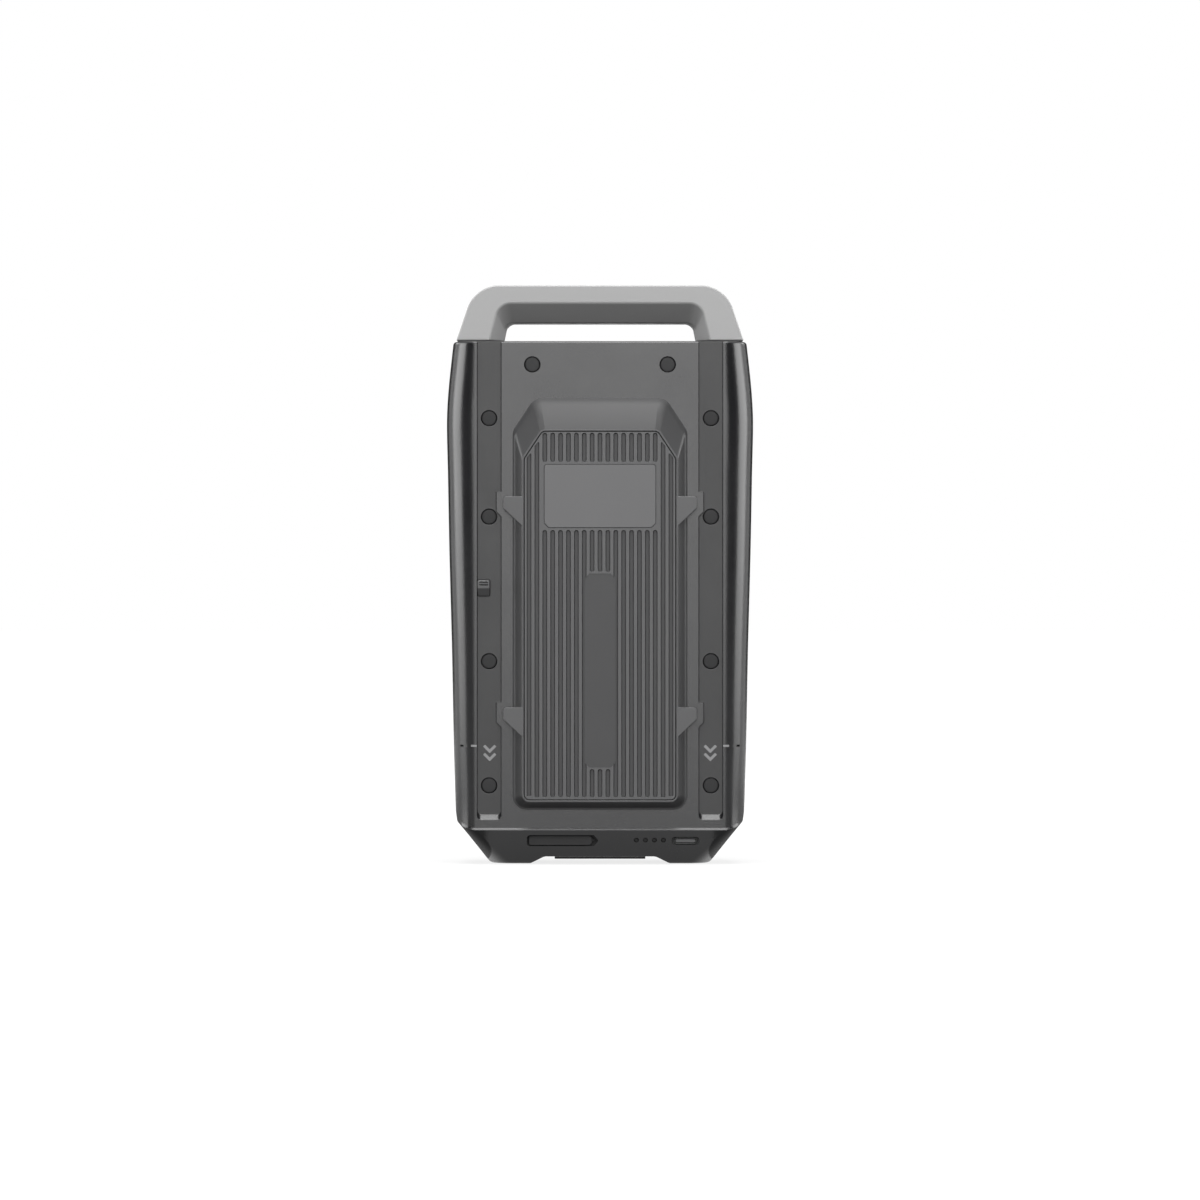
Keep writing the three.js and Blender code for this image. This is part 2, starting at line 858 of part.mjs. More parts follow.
function rearShell() {
  const places = screwPlaces();
  const rearHalf = slab(partY + halfGap, rearY + overrun);
  const shell = bodyOutside().subtract(bodyInside()).intersect(rearHalf);
  const bosses = places.map(({ x, z }) => {
    return bar(rearBossRadius, x, z, partY + halfGap, innerRearY + bossRoot);
  });
  const posts = packBoardPosts().map(([x, z]) => {
    return bar(postRadius, x, z, packBoardBackY + seatGap, innerRearY + bossRoot);
  });
  const pilots = places.map(({ x, y, z }) => {
    const end = y + screwSeatDepth + screwLength + pilotExtra;
    return bar(pilotRadius, x, z, partY - overrun, end);
  });
  return cutFrom(joined([shell, ...bosses, ...posts]), [
    archCutter(),
    prism(dishOutline(0), faceY + dishFrontLand, rearY + overrun),
    dockOpening(),
    ...pilots,
    ...tenonOpenings(),
  ]);
}

// Raised cover with its hook ears

function raisedCover() {
  const foot = blockFootCorners();
  const top = blockTopCorners();
  const edgeShare = 1 - blockEdge / blockRise;
  const outside = loftBack([
    { at: innerFaceY, outline: rounded(foot) },
    { at: faceY, outline: rounded(foot) },
    { at: frontY + blockEdge, outline: rounded(between(foot, top, edgeShare)) },
    { at: frontY, outline: rounded(grown(top, -blockEdge / 2)) },
  ]);
  const flangeY = innerFaceY + seatGap;
  const flange = prism(
    rounded(grown(foot, coverFlange)),
    flangeY,
    flangeY + coverFlangeThick,
  );
  const neck = prism(rounded(foot), faceY, flangeY + coverFlangeThick);
  const topShare = (faceY - coverInnerY) / blockRise;
  const inside = loftBack([
    { at: coverInnerY, outline: rounded(grown(between(foot, top, topShare), -coverWall)) },
    { at: faceY, outline: rounded(grown(foot, -coverWall)) },
    { at: flangeY + coverFlangeThick + overrun, outline: rounded(grown(foot, -coverWall)) },
  ]);
  const seat = prism(
    rounded(grown(top, seatGap - insertRim)),
    frontY - overrun,
    frontY + insertSeatDepth,
  );
  const ears = [-1, 1].flatMap((side) => earTopShares.map((share) => ear(side, share)));
  const whole = joined([outside, neck, flange]).subtract(inside);
  return joined([whole, ...ears]).subtract(seat);
}

// One hook ear, straight outside and cut away below, on an upright stretch of the block's side.
function ear(side, topShare) {
  const footHalf = blockFootWidth / 2;
  const root = footHalf - blockSideRun - earBite;
  const high = bodyHeight * topShare;
  const outline = rounded(
    [
      [root, high - earHeight, leastRadius],
      [root + earBite, high - earHeight, leastRadius],
      [earReach, high - earStraight, islandRadius],
      [earReach, high, earRadius],
      [root, high, leastRadius],
    ],
    coarseArcSteps,
  );
  const plan = sided(outline, side);
  const foot = block([-footHalf, frontY, 0], [footHalf, faceY, bodyHeight]);
  const upright = prism(plan, frontY, faceY).intersect(foot);
  return joined([prism(plan, frontY, frontY + earThick), upright]);
}

// Ribbed insert

// Lowest and highest point of the straight face at a place across the insert.
function insertSpan(x) {
  const [, lowRight, cutLow, cutHigh] = blockTopCorners();
  const low = lowRight[1] + grooveLowMargin;
  const slope = (cutHigh[1] - cutLow[1]) / (cutLow[0] - cutHigh[0]);
  const cut = cutLow[1] + (cutLow[0] - Math.abs(x)) * slope;
  const high = Math.min(cutHigh[1], cut) - grooveHighMargin;
  return [low, high];
}

// Stretches of one groove, broken by the label and, in the middle, by the pad.
function grooveStretches(x) {
  const [low, high] = insertSpan(x);
  const stretches = [[low, high]];
  const breakAt = (from, to) => {
    const [start, end] = stretches.pop();
    stretches.push([start, from], [to, end]);
  };
  if (Math.abs(x) < padHalfWidth - grooveWidth) breakAt(padLow, padLow + padHeight);
  if (Math.abs(x) < labelHalfWidth) {
    breakAt(labelHigh - labelHeight - labelMargin, labelHigh + labelMargin);
  }
  return stretches;
}

function ribbedInsert() {
  const outline = rounded(grown(blockTopCorners(), -insertRim));
  const plate = prism(outline, frontY, frontY + insertSeatDepth - seatGap);
  const half = grooveWidth / 2;
  const grooves = [];
  for (let i = 0; i < grooveCount; i += 1) {
    const x = (i - (grooveCount - 1) / 2) * groovePitch;
    for (const [low, high] of grooveStretches(x)) {
      const slot = roundedBox(x - half, low, x + half, high, grooveRadius, slotArcSteps);
      grooves.push(prism(slot, frontY - overrun, frontY + grooveDepth));
    }
  }
  const padOutline = roundedBox(-padHalfWidth, padLow, padHalfWidth, padLow + padHeight, padRadius);
  const pad = prism(padOutline, frontY - 2 * overrun, frontY + 2 * overrun);
  const padFace = prism(padOutline, frontY - overrun, frontY + padRecess);
  const labelFace = prism(labelOutline(0), frontY - overrun, frontY + labelRecess);
  return cutFrom(plate, [joined(grooves).subtract(pad), padFace, labelFace]);
}

// The blank label's outline, drawn in by its clearance.
function labelOutline(inset) {
  const half = labelHalfWidth - inset;
  const low = labelHigh - labelHeight + inset;
  return roundedBox(-half, low, half, labelHigh - inset, labelRadius);
}

function labelPlate() {
  return prism(labelOutline(seatGap), frontY + labelSink, frontY + labelRecess - seatGap);
}

// Fasteners

// Push-in plug, its face at Y = plugSink.
function screwPlug() {
  const profile = [
    [0, plugSink],
    [plugRadius - plugChamfer, plugSink],
    [plugRadius, plugSink + plugChamfer],
    [plugRadius, plugSink + plugThick],
    [0, plugSink + plugThick],
  ];
  return turned(profile, roundSides);
}

// Screw with its seat at Y = 0 and its head towards -Y.
function screw(headRadius, headHeight, radius, length) {
  const profile = [
    [0, -headHeight],
    [headRadius, -headHeight],
    [headRadius, 0],
    [radius, 0],
    [radius, length - radius],
    [0, length],
  ];
  return turned(profile, bossSides);
}

// Carry handle

// Corners of the handle's outside, an upright with raked legs.
function handleCorners() {
  const top = handleFootHalf - handleRake * handleRise;
  return [
    [-handleFootHalf, handleZ, handleFootRadius],
    [handleFootHalf, handleZ, handleFootRadius],
    [top, handleTopZ, handleCorner],
    [-top, handleTopZ, handleCorner],
  ];
}

// Opening under the grip, for one thickness of leg and one depth of bar.
function throatOutline(legWidth, barHeight, rake, corner) {
  const half = handleFootHalf - legWidth;
  const high = handleTopZ - barHeight;
  const low = handleZ - overrun;
  const foot = half + rake * overrun;
  const top = half - rake * (high - handleZ);
  return rounded(
    [
      [-foot, low, leastRadius],
      [foot, low, leastRadius],
      [top, high, corner],
      [-top, high, corner],
    ],
    fineArcSteps,
  );
}

function handle() {
  const front = partY - handleDepth / 2;
  const rear = partY + handleDepth / 2;
  const outside = (inset) => rounded(grown(handleCorners(), -inset), fineArcSteps);
  const grip = loftBack([
    { at: front, outline: outside(handleEdge) },
    { at: front + handleEdge * blendShare, outline: outside(handleEdge * blendShare) },
    { at: front + handleEdge, outline: outside(0) },
    { at: rear - handleEdge, outline: outside(0) },
    { at: rear - handleEdge * blendShare, outline: outside(handleEdge * blendShare) },
    { at: rear, outline: outside(handleEdge) },
  ]);
  const mouth = throatOutline(legFaceWidth, barFaceHeight, gripRake, gripCorner);
  const bevelLeg = legFaceWidth + legBevelWidth;
  const bevelBar = barGripHeight - gripSag;
  const bevelEnd = throatOutline(bevelLeg, bevelBar, throatRake, throatCorner);
  const middle = throatOutline(bevelLeg + legDraft, barGripHeight, throatRake, throatCorner);
  const throat = loftBack([
    { at: front - overrun, outline: mouth },
    { at: front, outline: mouth },
    { at: front + gripBevelDepth, outline: bevelEnd },
    { at: partY, outline: middle },
    { at: rear - gripBevelDepth, outline: bevelEnd },
    { at: rear, outline: mouth },
    { at: rear + overrun, outline: mouth },
  ]);
  const tenons = [-1, 1].map((side) => {
    return column(tenonOutline(side, 0), handleZ - tenonDrop, handleZ + overrun);
  });
  const bores = [-1, 1].map((side) => {
    return bar(handlePilotRadius, side * tenonX, handleScrewZ, front, rear);
  });
  return cutFrom(joined([grip.subtract(throat), ...tenons]), bores);
}

// Flap, sockets, lamps and button

// Flap seen from above, round at its hinge end.
function portFlap() {
  const half = flapThick / 2;
  const left = flapHingeX - half;
  const plan = rounded([
    [left, flapY, half * pillShare],
    [flapRight, flapY, leastRadius],
    [flapRight, flapBackY, leastRadius],
    [left, flapBackY, half * pillShare],
  ]);
  const low = flapPocketLow + seatGap;
  const high = flapPocketHigh - seatGap;
  const face = rounded([
    [left, low, flapCorner],
    [flapRight - flapNotch / 2, low, leastRadius],
    [flapRight, low + flapNotch / 2, leastRadius],
    [flapRight, high - flapNotch / 2, leastRadius],
    [flapRight - flapNotch / 2, high, leastRadius],
    [left, high, flapCorner],
  ]);
  return column(plan, low, high).intersect(prism(face, flapY - overrun, flapBackY + overrun));
}

// Socket shell with its tongue, its mouth at Y = flapBackY plus the seat gap.
function socket() {
  const mouth = flapBackY + seatGap;
  const back = mouth + socketDepth;
  const inside = prism(socketOutline(0, -socketShell), mouth - overrun, back - 2 * socketShell);
  const halfTongue = socketWidth / 2 - 2 * socketShell;
  const tongue = block(
    [-halfTongue, mouth + socketShell, flapMiddle - socketTongue / 2],
    [halfTongue, back - socketShell, flapMiddle + socketTongue / 2],
  );
  return prism(socketOutline(0, 0), mouth, back).subtract(inside).add(tongue);
}

// Four lamps on one clear rail.
function lightPipe() {
  const railY = portBarY + seatGap;
  const faceAt = valueAt(frontProfile, lampHeight) + lampSink;
  const places = lampPlaces();
  const lamps = places.map((x) => {
    return bar(lampRadius, x, lampHeight, faceAt, railY + lampRailThick / 2);
  });
  const rail = block(
    [places[0] - lampRailHeight / 2, railY, lampHeight - lampRailHeight / 2],
    [places.at(-1) + lampRailHeight / 2, railY + lampRailThick, lampHeight + lampRailHeight / 2],
  );
  return joined([rail, ...lamps]);
}

function buttonBezel() {
  const inside = prism(pill(bezelWidth, bezelHeight, -bezelWall), faceY - overrun, partY);
  return prism(pill(bezelWidth, bezelHeight, 0), bezelY, buttonFlangeY - seatGap).subtract(inside);
}

function powerButton() {
  const inset = bezelWall + seatGap;
  const cap = prism(pill(bezelWidth, bezelHeight, -inset), bezelY + buttonSink, buttonFlangeY);
  const flange = prism(
    pill(bezelWidth, bezelHeight, -bezelWall / 2),
    buttonFlangeY - buttonFlange * blendShare,
    buttonFlangeY + buttonFlange,
  );
  const trimmed = flange.intersect(slab(buttonFlangeY, partY));
  return cap.add(trimmed);
}

// Tactile switch on the board, its plunger just short of the pressed button.
function buttonSwitch() {
  const plungerY = buttonFlangeY + buttonFlange + buttonTravel + seatGap;
  const baseY = plungerY + switchPlunger;
  const half = switchWidth / 2;
  const tall = switchHeight / 2;
  const base = block(
    [buttonCentre - half, baseY, buttonZ - tall],
    [buttonCentre + half, frontBoardY - seatGap, buttonZ + tall],
  );
  return base.add(bar(tall * pillShare, buttonCentre, buttonZ, plungerY, baseY + seatGap));
}

function frontBoard() {
  const left = frontBoardPosts[0] - postRadius;
  return block(
    [left, frontBoardY, frontBoardLow],
    [buttonCentre + bezelWidth / 2, frontBoardY + boardThick, frontBoardHigh],
  );
}

// Spring catch

// The catch's outline on the channel floor, grown by a clearance.
function catchOutline(grow) {
  const half = catchWidth / 2 + grow;
  const low = catchLow - grow;
  const high = catchLow + catchTall + grow;
  return roundedBox(catchX - half, low, catchX + half, high, catchRadius);
}

function catchWindow() {
  return prism(catchOutline(seatGap), channelY, channelBackY + overrun);
}

// Side view of the nose as [y, z]: flat above, ramped below.
function springCatch() {
  const noseY = channelY - catchProud;
  const flangeY = channelBackY + seatGap;
  const backY = flangeY + catchFlangeThick;
  const high = catchLow + catchTall;
  const side = rounded([
    [channelY - leastRadius, catchLow, leastRadius],
    [backY, catchLow, leastRadius],
    [backY, high, leastRadius],
    [noseY, high, leastRadius],
    [noseY, catchLow + catchRamp, leastRadius],
  ]);
  const wide = loft(
    [
      { at: catchX - catchWidth, outline: side },
      { at: catchX + catchWidth, outline: side },
    ],
    (p, x) => [x, p.x, p.y],
  );
  const nose = wide.intersect(prism(catchOutline(0), noseY - overrun, backY));
  return nose.add(prism(catchOutline(catchFlange), flangeY, backY));
}

// Guide box behind the catch, open to the front.
function catchHousing() {
  const frontAt = channelBackY + seatGap;
  const backAt = frontAt + catchHousingDepth;
  const room = catchFlange + seatGap;
  const inside = prism(catchOutline(room), frontAt - overrun, backAt - catchHousingWall);
  return prism(catchOutline(room + catchHousingWall), frontAt, backAt).subtract(inside);
}

// Coil spring between the catch and the floor of its housing.
class Coil extends THREE.Curve {
  constructor(radius, turns, fromY, toY) {
    super();
    Object.assign(this, { radius, turns, fromY, toY });
  }

  getPoint(t) {
    const angle = t * this.turns * 2 * Math.PI;
    const y = THREE.MathUtils.lerp(this.fromY, this.toY, t);
    const z = catchLow + catchTall / 2 + this.radius * Math.sin(angle);
    return new THREE.Vector3(catchX + this.radius * Math.cos(angle), y, z);
  }
}

function catchSpring() {
  const fromY = channelBackY + seatGap + catchFlangeThick + seatGap + catchSpringWire;
  const housingFloor = channelBackY + seatGap + catchHousingDepth - catchHousingWall;
  const toY = housingFloor - seatGap - catchSpringWire;
  const corners = Array.from({ length: wireSides }, (_, i) => {
    const corner = new THREE.Vector2(catchSpringWire, 0);
    return corner.rotateAround(new THREE.Vector2(), (2 * Math.PI * i) / wireSides);
  });
  const wire = new THREE.Shape(corners);
  const path = new Coil(catchSpringRadius, catchSpringTurns, fromY, toY);
  const steps = catchSpringTurns * coilSteps;
  return solidOf(new THREE.ExtrudeGeometry(wire, { steps, extrudePath: path }));
}

// Bay connector

function dockBox(grow, fromZ, toZ) {
  const half = dockWidth / 2 + grow;
  const deep = dockDepth / 2 + grow;
  return block([-half, dockY - deep, fromZ], [half, dockY + deep, toZ]);
}

function dockOpening() {
  return dockBox(seatGap, -overrun, floorZ + overrun);
}

function dockConnector() {
  const flangeZ = floorZ + seatGap;
  const body = dockBox(0, dockClear, dockClear + dockHeight);
  const flange = dockBox(dockFlange, flangeZ, flangeZ + dockFlangeThick);
  const slots = [];
  for (let i = 0; i < dockSlots; i += 1) {
    const x = (i - (dockSlots - 1) / 2) * dockSlotPitch;
    slots.push(
      block(
        [x - dockSlotWidth / 2, dockY - dockSlotLength / 2, dockClear - overrun],
        [x + dockSlotWidth / 2, dockY + dockSlotLength / 2, dockClear + dockSlotDepth],
      ),
    );
  }
  return cutFrom(body.add(flange), slots);
}

// Cells

function columnPlaces() {
  return Array.from({ length: cellColumns }, (_, i) => {
    return (i - (cellColumns - 1) / 2) * cellPitch;
  });
}

function rowPlaces() {
  return Array.from({ length: cellRows }, (_, i) => cellLowCentre + i * cellPitch);
}

// One row of cells with its welded end strips, centred on the pack's middle.
function cellRow() {
  const half = cellLength / 2;
  const columns = columnPlaces();
  const cells = columns.map((x) => bar(cellRadius, x, 0, -half, half));
  const stripEnd = columns.at(-1) + stripHeight / 2;
  const strip = (fromY, toY) => {
    return block([-stripEnd, fromY, -stripHeight / 2], [stripEnd, toY, stripHeight / 2]);
  };
  return joined([
    ...cells,
    strip(-half - stripThick, stripBite - half),
    strip(half - stripBite, half + stripThick),
  ]);
}

// Holder at one end of the cells: a bored plate with a rim that meets the casing.
function cellHolder(side) {
  const plateEnd = cellLength / 2 - holderStripGap;
  const reach = (innerRearY - coverInnerY) / 2 - seatGap;
  const half = columnPlaces().at(-1) + holderMargin;
  const radius = holderMargin * pillShare;
  const span = (from, to) => [packY + side * from, packY + side * to].sort((a, b) => a - b);
  const outline = (inset) => {
    const [low, high] = [holderLow + inset, holderHigh - inset];
    return roundedBox(inset - half, low, half - inset, high, radius - inset, coarseArcSteps);
  };
  const outer = outline(0);
  const inner = outline(holderRim);
  const body = prism(outer, ...span(plateEnd - holderThick, reach));
  const well = prism(inner, ...span(plateEnd, reach + overrun));
  const bores = rowPlaces().flatMap((z) => {
    return columnPlaces().map((x) => {
      return bar(cellRadius + seatGap, x, z, ...span(0, plateEnd + overrun));
    });
  });
  return cutFrom(body, [well, joined(bores)]);
}

// Management board

function packBoardPosts() {
  const x = packBoardWidth / 2 - packBoardPostInset;
  const low = packBoardLow + packBoardPostInset;
  const high = packBoardLow + packBoardTall - packBoardPostInset;
  return [-x, x].flatMap((at) => [
    [at, low],
    [at, high],
  ]);
}

function packBoard() {
  const half = packBoardWidth / 2;
  const front = packBoardBackY - boardThick;
  const high = packBoardLow + packBoardTall;
  const plate = block([-half, front, packBoardLow], [half, packBoardBackY, high]);
  const middle = packBoardLow + packBoardTall / 2;
  const chokes = [-1, 1].map((side) => {
    const x = side * (half - 2 * chokeRadius);
    return bar(chokeRadius, x, middle, front - chokeHeight, front + boardThick / 2);
  });
  const mosfets = Array.from({ length: mosfetCount }, (_, i) => {
    const x = (i - (mosfetCount - 1) / 2) * mosfetPitch;
    const low = packBoardLow + 2 * packBoardPostInset;
    return block(
      [x - mosfetWidth / 2, front - mosfetThick, low],
      [x + mosfetWidth / 2, front + boardThick / 2, low + mosfetTall],
    );
  });
  return joined([plate, ...chokes, ...mosfets]);
}

// Assembly

const finishes = {
  shell: { color: 0x4d4e50, roughness: 0.62, metalness: 0 },
  cover: { color: 0x56575a, roughness: 0.6, metalness: 0 },
  label: { color: 0x6b6c6e, roughness: 0.7, metalness: 0 },
  handle: { color: 0xa9aaac, roughness: 0.5, metalness: 0 },
  rubber: { color: 0x2b2c2e, roughness: 0.8, metalness: 0 },
  trim: { color: 0x3a3b3d, roughness: 0.5, metalness: 0 },
  clear: { color: 0xd8dde0, roughness: 0.25, metalness: 0 },
  steel: { color: 0xb4b6ba, roughness: 0.35, metalness: 1 },
  cell: { color: 0x3f7fa8, roughness: 0.45, metalness: 0.1 },
  board: { color: 0x1f5a3c, roughness: 0.5, metalness: 0.1 },
};

const pack = new THREE.Group();
const materials = new Map();

// Adds a solid to the pack as a named mesh, turned about Z where it faces the other way.
function add(name, solid, finish, at = [0, 0, 0], turn = 0) {
  const { vertProperties, triVerts } = solid.getMesh();
  const geometry = new THREE.BufferGeometry();
  geometry.setAttribute("position", new THREE.BufferAttribute(vertProperties, 3));
  geometry.setIndex(new THREE.BufferAttribute(triVerts, 1));
  if (!materials.has(finish)) {
    const settings = { ...finishes[finish], flatShading: true };
    materials.set(finish, new THREE.MeshStandardMaterial(settings));
  }
  const mesh = new THREE.Mesh(geometry, materials.get(finish));
  mesh.name = name;
  mesh.position.set(...at);
  mesh.rotation.z = turn;
  pack.add(mesh);
}

add("front_shell", frontShell(), "shell");
add("rear_shell", rearShell(), "shell");
add("raised_cover", raisedCover(), "cover");
add("ribbed_insert", ribbedInsert(), "cover");
add("label_plate", labelPlate(), "label");
add("handle", handle(), "handle");

const plug = screwPlug();
const caseScrew = screw(screwHeadRadius, screwHeadHeight, screwRadius, screwLength);
screwPlaces().forEach(({ x, y, z }, i) => {
  add(`screw_plug_${i + 1}`, plug, "rubber", [x, y, z]);
  add(`case_screw_${i + 1}`, caseScrew, "steel", [x, y + screwSeatDepth - seatGap, z]);
});

const tenonScrew = screw(
  handleScrewHead,
  handleScrewHeadHeight,
  handleScrewRadius,
  handleScrewLength,
);
add("handle_screw_left", tenonScrew, "steel", [-tenonX, tenonRear, handleScrewZ], Math.PI);
add("handle_screw_right", tenonScrew, "steel", [tenonX, tenonRear, handleScrewZ], Math.PI);

add("port_flap", portFlap(), "rubber");
const portSocket = socket();
add("port_socket_left", portSocket, "steel", [socketCentres[0], 0, 0]);
add("port_socket_right", portSocket, "steel", [socketCentres[1], 0, 0]);
add("light_pipe", lightPipe(), "clear");
add("button_bezel", buttonBezel(), "trim");
add("power_button", powerButton(), "label");
add("button_switch", buttonSwitch(), "trim");
add("front_board", frontBoard(), "board");

add("spring_catch", springCatch(), "trim");
add("catch_housing", catchHousing(), "trim");
add("catch_spring", catchSpring(), "steel");

add("dock_connector", dockConnector(), "trim");
add("pack_board", packBoard(), "board");
add("cell_holder_front", cellHolder(-1), "trim");
add("cell_holder_rear", cellHolder(1), "trim");
const row = cellRow();
rowPlaces().forEach((z, i) => add(`cell_row_${i + 1}`, row, "cell", [0, packY, z]));

export default pack;
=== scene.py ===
"""Portable power station, a slide-in battery pack with a fixed carry handle: look and studio.

Sizes are in millimetres in this file, and are turned to metres where a piece is made.
+X is right, +Y is back, +Z is up, and the pack stands on Z = 0.
"""

import math

import bpy
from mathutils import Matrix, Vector


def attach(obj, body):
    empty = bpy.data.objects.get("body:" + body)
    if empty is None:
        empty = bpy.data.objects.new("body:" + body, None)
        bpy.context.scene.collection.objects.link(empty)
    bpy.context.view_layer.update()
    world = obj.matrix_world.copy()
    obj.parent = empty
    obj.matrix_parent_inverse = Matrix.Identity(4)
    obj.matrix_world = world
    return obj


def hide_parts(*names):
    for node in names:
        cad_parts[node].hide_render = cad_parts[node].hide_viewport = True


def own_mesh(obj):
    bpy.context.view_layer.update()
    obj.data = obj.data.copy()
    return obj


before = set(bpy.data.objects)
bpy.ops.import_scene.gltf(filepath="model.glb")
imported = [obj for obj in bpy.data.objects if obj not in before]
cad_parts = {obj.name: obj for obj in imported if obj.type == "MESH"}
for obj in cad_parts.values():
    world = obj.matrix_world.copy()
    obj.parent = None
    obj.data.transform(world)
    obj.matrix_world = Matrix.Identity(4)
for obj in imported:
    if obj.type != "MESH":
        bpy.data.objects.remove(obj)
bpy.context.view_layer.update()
MM = 0.001
HAIR = 0.01

# -------sizes

FACE_Y = -35
FRONT_Y = -43
REAR_Y = 43
PART_Y = 4
PARTING_GAP = 0.3
WALL = 2.8
SEAT_GAP = 0.3
SHELL_EDGE = 0.35
BODY_TOP = 319
FLOOR_Z = 7.1
CEILING_Z = 316.2

FRONT_FLAT = 75.5
FRONT_CORNER = 20
REAR_FLAT = 66
REAR_CORNER = 23
BASE_HALF = 67.3
BASE_FLAT = 54
FRONT_LEAN = 13
REAR_LEAN = 9
CREASE_Z = 21.3
FLARE_Z = 27
WIDEST = 93.8
FLANK = [
    (27, 88.3), (70.2, 89.53), (130.8, 90.7), (191.4, 92.3), (239.9, 93.2),
    (269.9, WIDEST), (289, 92.86), (312.9, 90.4), (319, 89.67),
]
BODY_STEPS = 14
BODY_LEVELS = [
    40, 55, 70, 90, 110, 130, 150, 170, 190, 210, 225, 238,
    250, 258, 265, 270, 275, 281, 288, 296, 304, 311, 316,
]
SKIN_INSET = 1.3
SKIN_LEVELS = [CREASE_Z, 40, 60, 80, 120]
ROOM_STEPS = 6
ROOM_LEVELS = [CREASE_Z, 40, 90, 150, 210, 240, 270, 290, 305]
TONGUE_INSET = 1.4

CHANNEL_IN = 60.3
CHANNEL_OUT = 74.9
CHANNEL_Y = -32
CHANNEL_FOOT = 27.1
EAR_TOPS = [224.2, 95.7]
EAR_IN = 44.4
EAR_OUT = 58.8
POST_OUT = 51.2
DISH_HALF = 56
DISH_DEPTH = 10
DISH_FRONT = -30
TENON_X = 74.1
PLUGS = [(41.3, 304.7), (67.7, 272), (67.7, 211.9), (67.7, 123.7), (67.7, 47.9)]
PLUG_BORE = 4.8
SCREW_PILOT = 2.3
DASH_LOW = 71.6
DASH_HIGH = 72.8

FLAP_Z = 14.25
FLAP_Y = -28.775
FLAP_BACK_Y = -26.275
FLAP_FLOOR_Y = -24.6
FLAP_GAP = 0.25
LAMPS = [22.2 + 5.5 * i for i in range(4)]
LAMP_Z = 14.6
BUTTON_X = 52.2
BUTTON_Z = 14.1
BEZEL_Y = -29.68
PORT_BAR_Y = -23.5
SPRING_PLACE = (-70.9, -26.46, 168.4)


def plug_face(x):
    """Depth of the face that a plug sits in: the main face, or a channel's floor."""
    return FACE_Y if x < 60 else CHANNEL_Y


# -------the bench: small steps by hand

def only(obj):
    bpy.ops.object.select_all(action="DESELECT")
    obj.select_set(True)
    bpy.context.view_layer.objects.active = obj


def fresh(name, operator, **settings):
    """Adds an object, with nothing else selected."""
    bpy.ops.object.select_all(action="DESELECT")
    operator(**settings)
    obj = bpy.context.object
    obj.name = name
    return obj


def box(name, low, high):
    """A block between two corners, at the origin once its place is applied."""
    centre = [(a + b) / 2 * MM for a, b in zip(low, high)]
    size = [(b - a) * MM for a, b in zip(low, high)]
    obj = fresh(name, bpy.ops.mesh.primitive_cube_add, size=1, location=centre, scale=size)
    bpy.ops.object.transform_apply()
    return obj


def rod(name, radius, start, end, x=0, z=0, sides=48):
    """A round bar along Y."""
    obj = fresh(
        name, bpy.ops.mesh.primitive_cylinder_add,
        vertices=sides,
        radius=radius * MM,
        depth=(end - start) * MM,
        location=(x * MM, (start + end) / 2 * MM, z * MM),
        rotation=(math.pi / 2, 0, 0),
    )
    bpy.ops.object.transform_apply()
    return obj


def pick(obj, kind, test):
    """Selects points, edges or faces by their place in millimetres."""
    only(obj)
    modes = ("VERT", "EDGE", "FACE")
    bpy.context.tool_settings.mesh_select_mode = tuple(kind == mode for mode in modes)
    mesh = obj.data
    for part in (mesh.vertices, mesh.edges, mesh.polygons):
        part.foreach_set("select", [False] * len(part))
    if kind == "FACE":
        for face in mesh.polygons:
            face.select = bool(test(face.center / MM, face.normal))
        return
    places = [vertex.co / MM for vertex in mesh.vertices]
    if kind == "VERT":
        for vertex, place in zip(mesh.vertices, places):
            vertex.select = bool(test(place))
        return
    for edge in mesh.edges:
        a, b = edge.vertices
        edge.select = bool(test(places[a], places[b]))


def edit(operator, **settings):
    """Runs one edit-mode step on what is picked."""
    bpy.ops.object.mode_set(mode="EDIT")
    operator(**settings)
    bpy.ops.object.mode_set(mode="OBJECT")


def work(obj, kind, test, operator, **settings):
    pick(obj, kind, test)
    edit(operator, **settings)


def everywhere(*_):
    return True


def near(a, b):
    """Whether two measures are the same within a hair."""
    return abs(a - b) < HAIR


def runs_along_z(a, b):
    return near(a.x, b.x) and near(a.y, b.y)


def looks_ahead(centre, normal):
    return normal.y < -0.9


def move(obj, test, shift):
    work(obj, "VERT", test, bpy.ops.transform.translate, value=[value * MM for value in shift])


def stretch(obj, test, factors, about):
    centre = [value * MM for value in about]
    work(obj, "VERT", test, bpy.ops.transform.resize, value=factors, center_override=centre)


def slice_off(obj, point, normal):
    """Cuts away what lies on the normal's side of a plane, and closes the cut."""
    place = [value * MM for value in point]
    work(
        obj, "FACE", everywhere, bpy.ops.mesh.bisect,
        plane_co=place, plane_no=Vector(normal).normalized(), use_fill=True, clear_outer=True,
    )


def score(obj, point, normal):
    """Adds a ring of edges where a plane meets the piece."""
    place = [value * MM for value in point]
    work(obj, "FACE", everywhere, bpy.ops.mesh.bisect, plane_co=place, plane_no=normal)


def round_edges(obj, test, width, steps):
    work(
        obj, "EDGE", test, bpy.ops.mesh.bevel,
        offset=width * MM, segments=steps, profile=0.5, affect="EDGES",
    )


def twin(obj):
    """A copy with its own mesh."""
    only(obj)
    bpy.ops.object.duplicate()
    return bpy.context.object


def mirrored(obj):
    """A copy on the other side of the pack, with its faces turned outwards again."""
    copy = twin(obj)
    stretch(copy, everywhere, (-1, 1, 1), (0, 0, 0))
    work(copy, "FACE", everywhere, bpy.ops.mesh.normals_make_consistent, inside=False)
    return copy


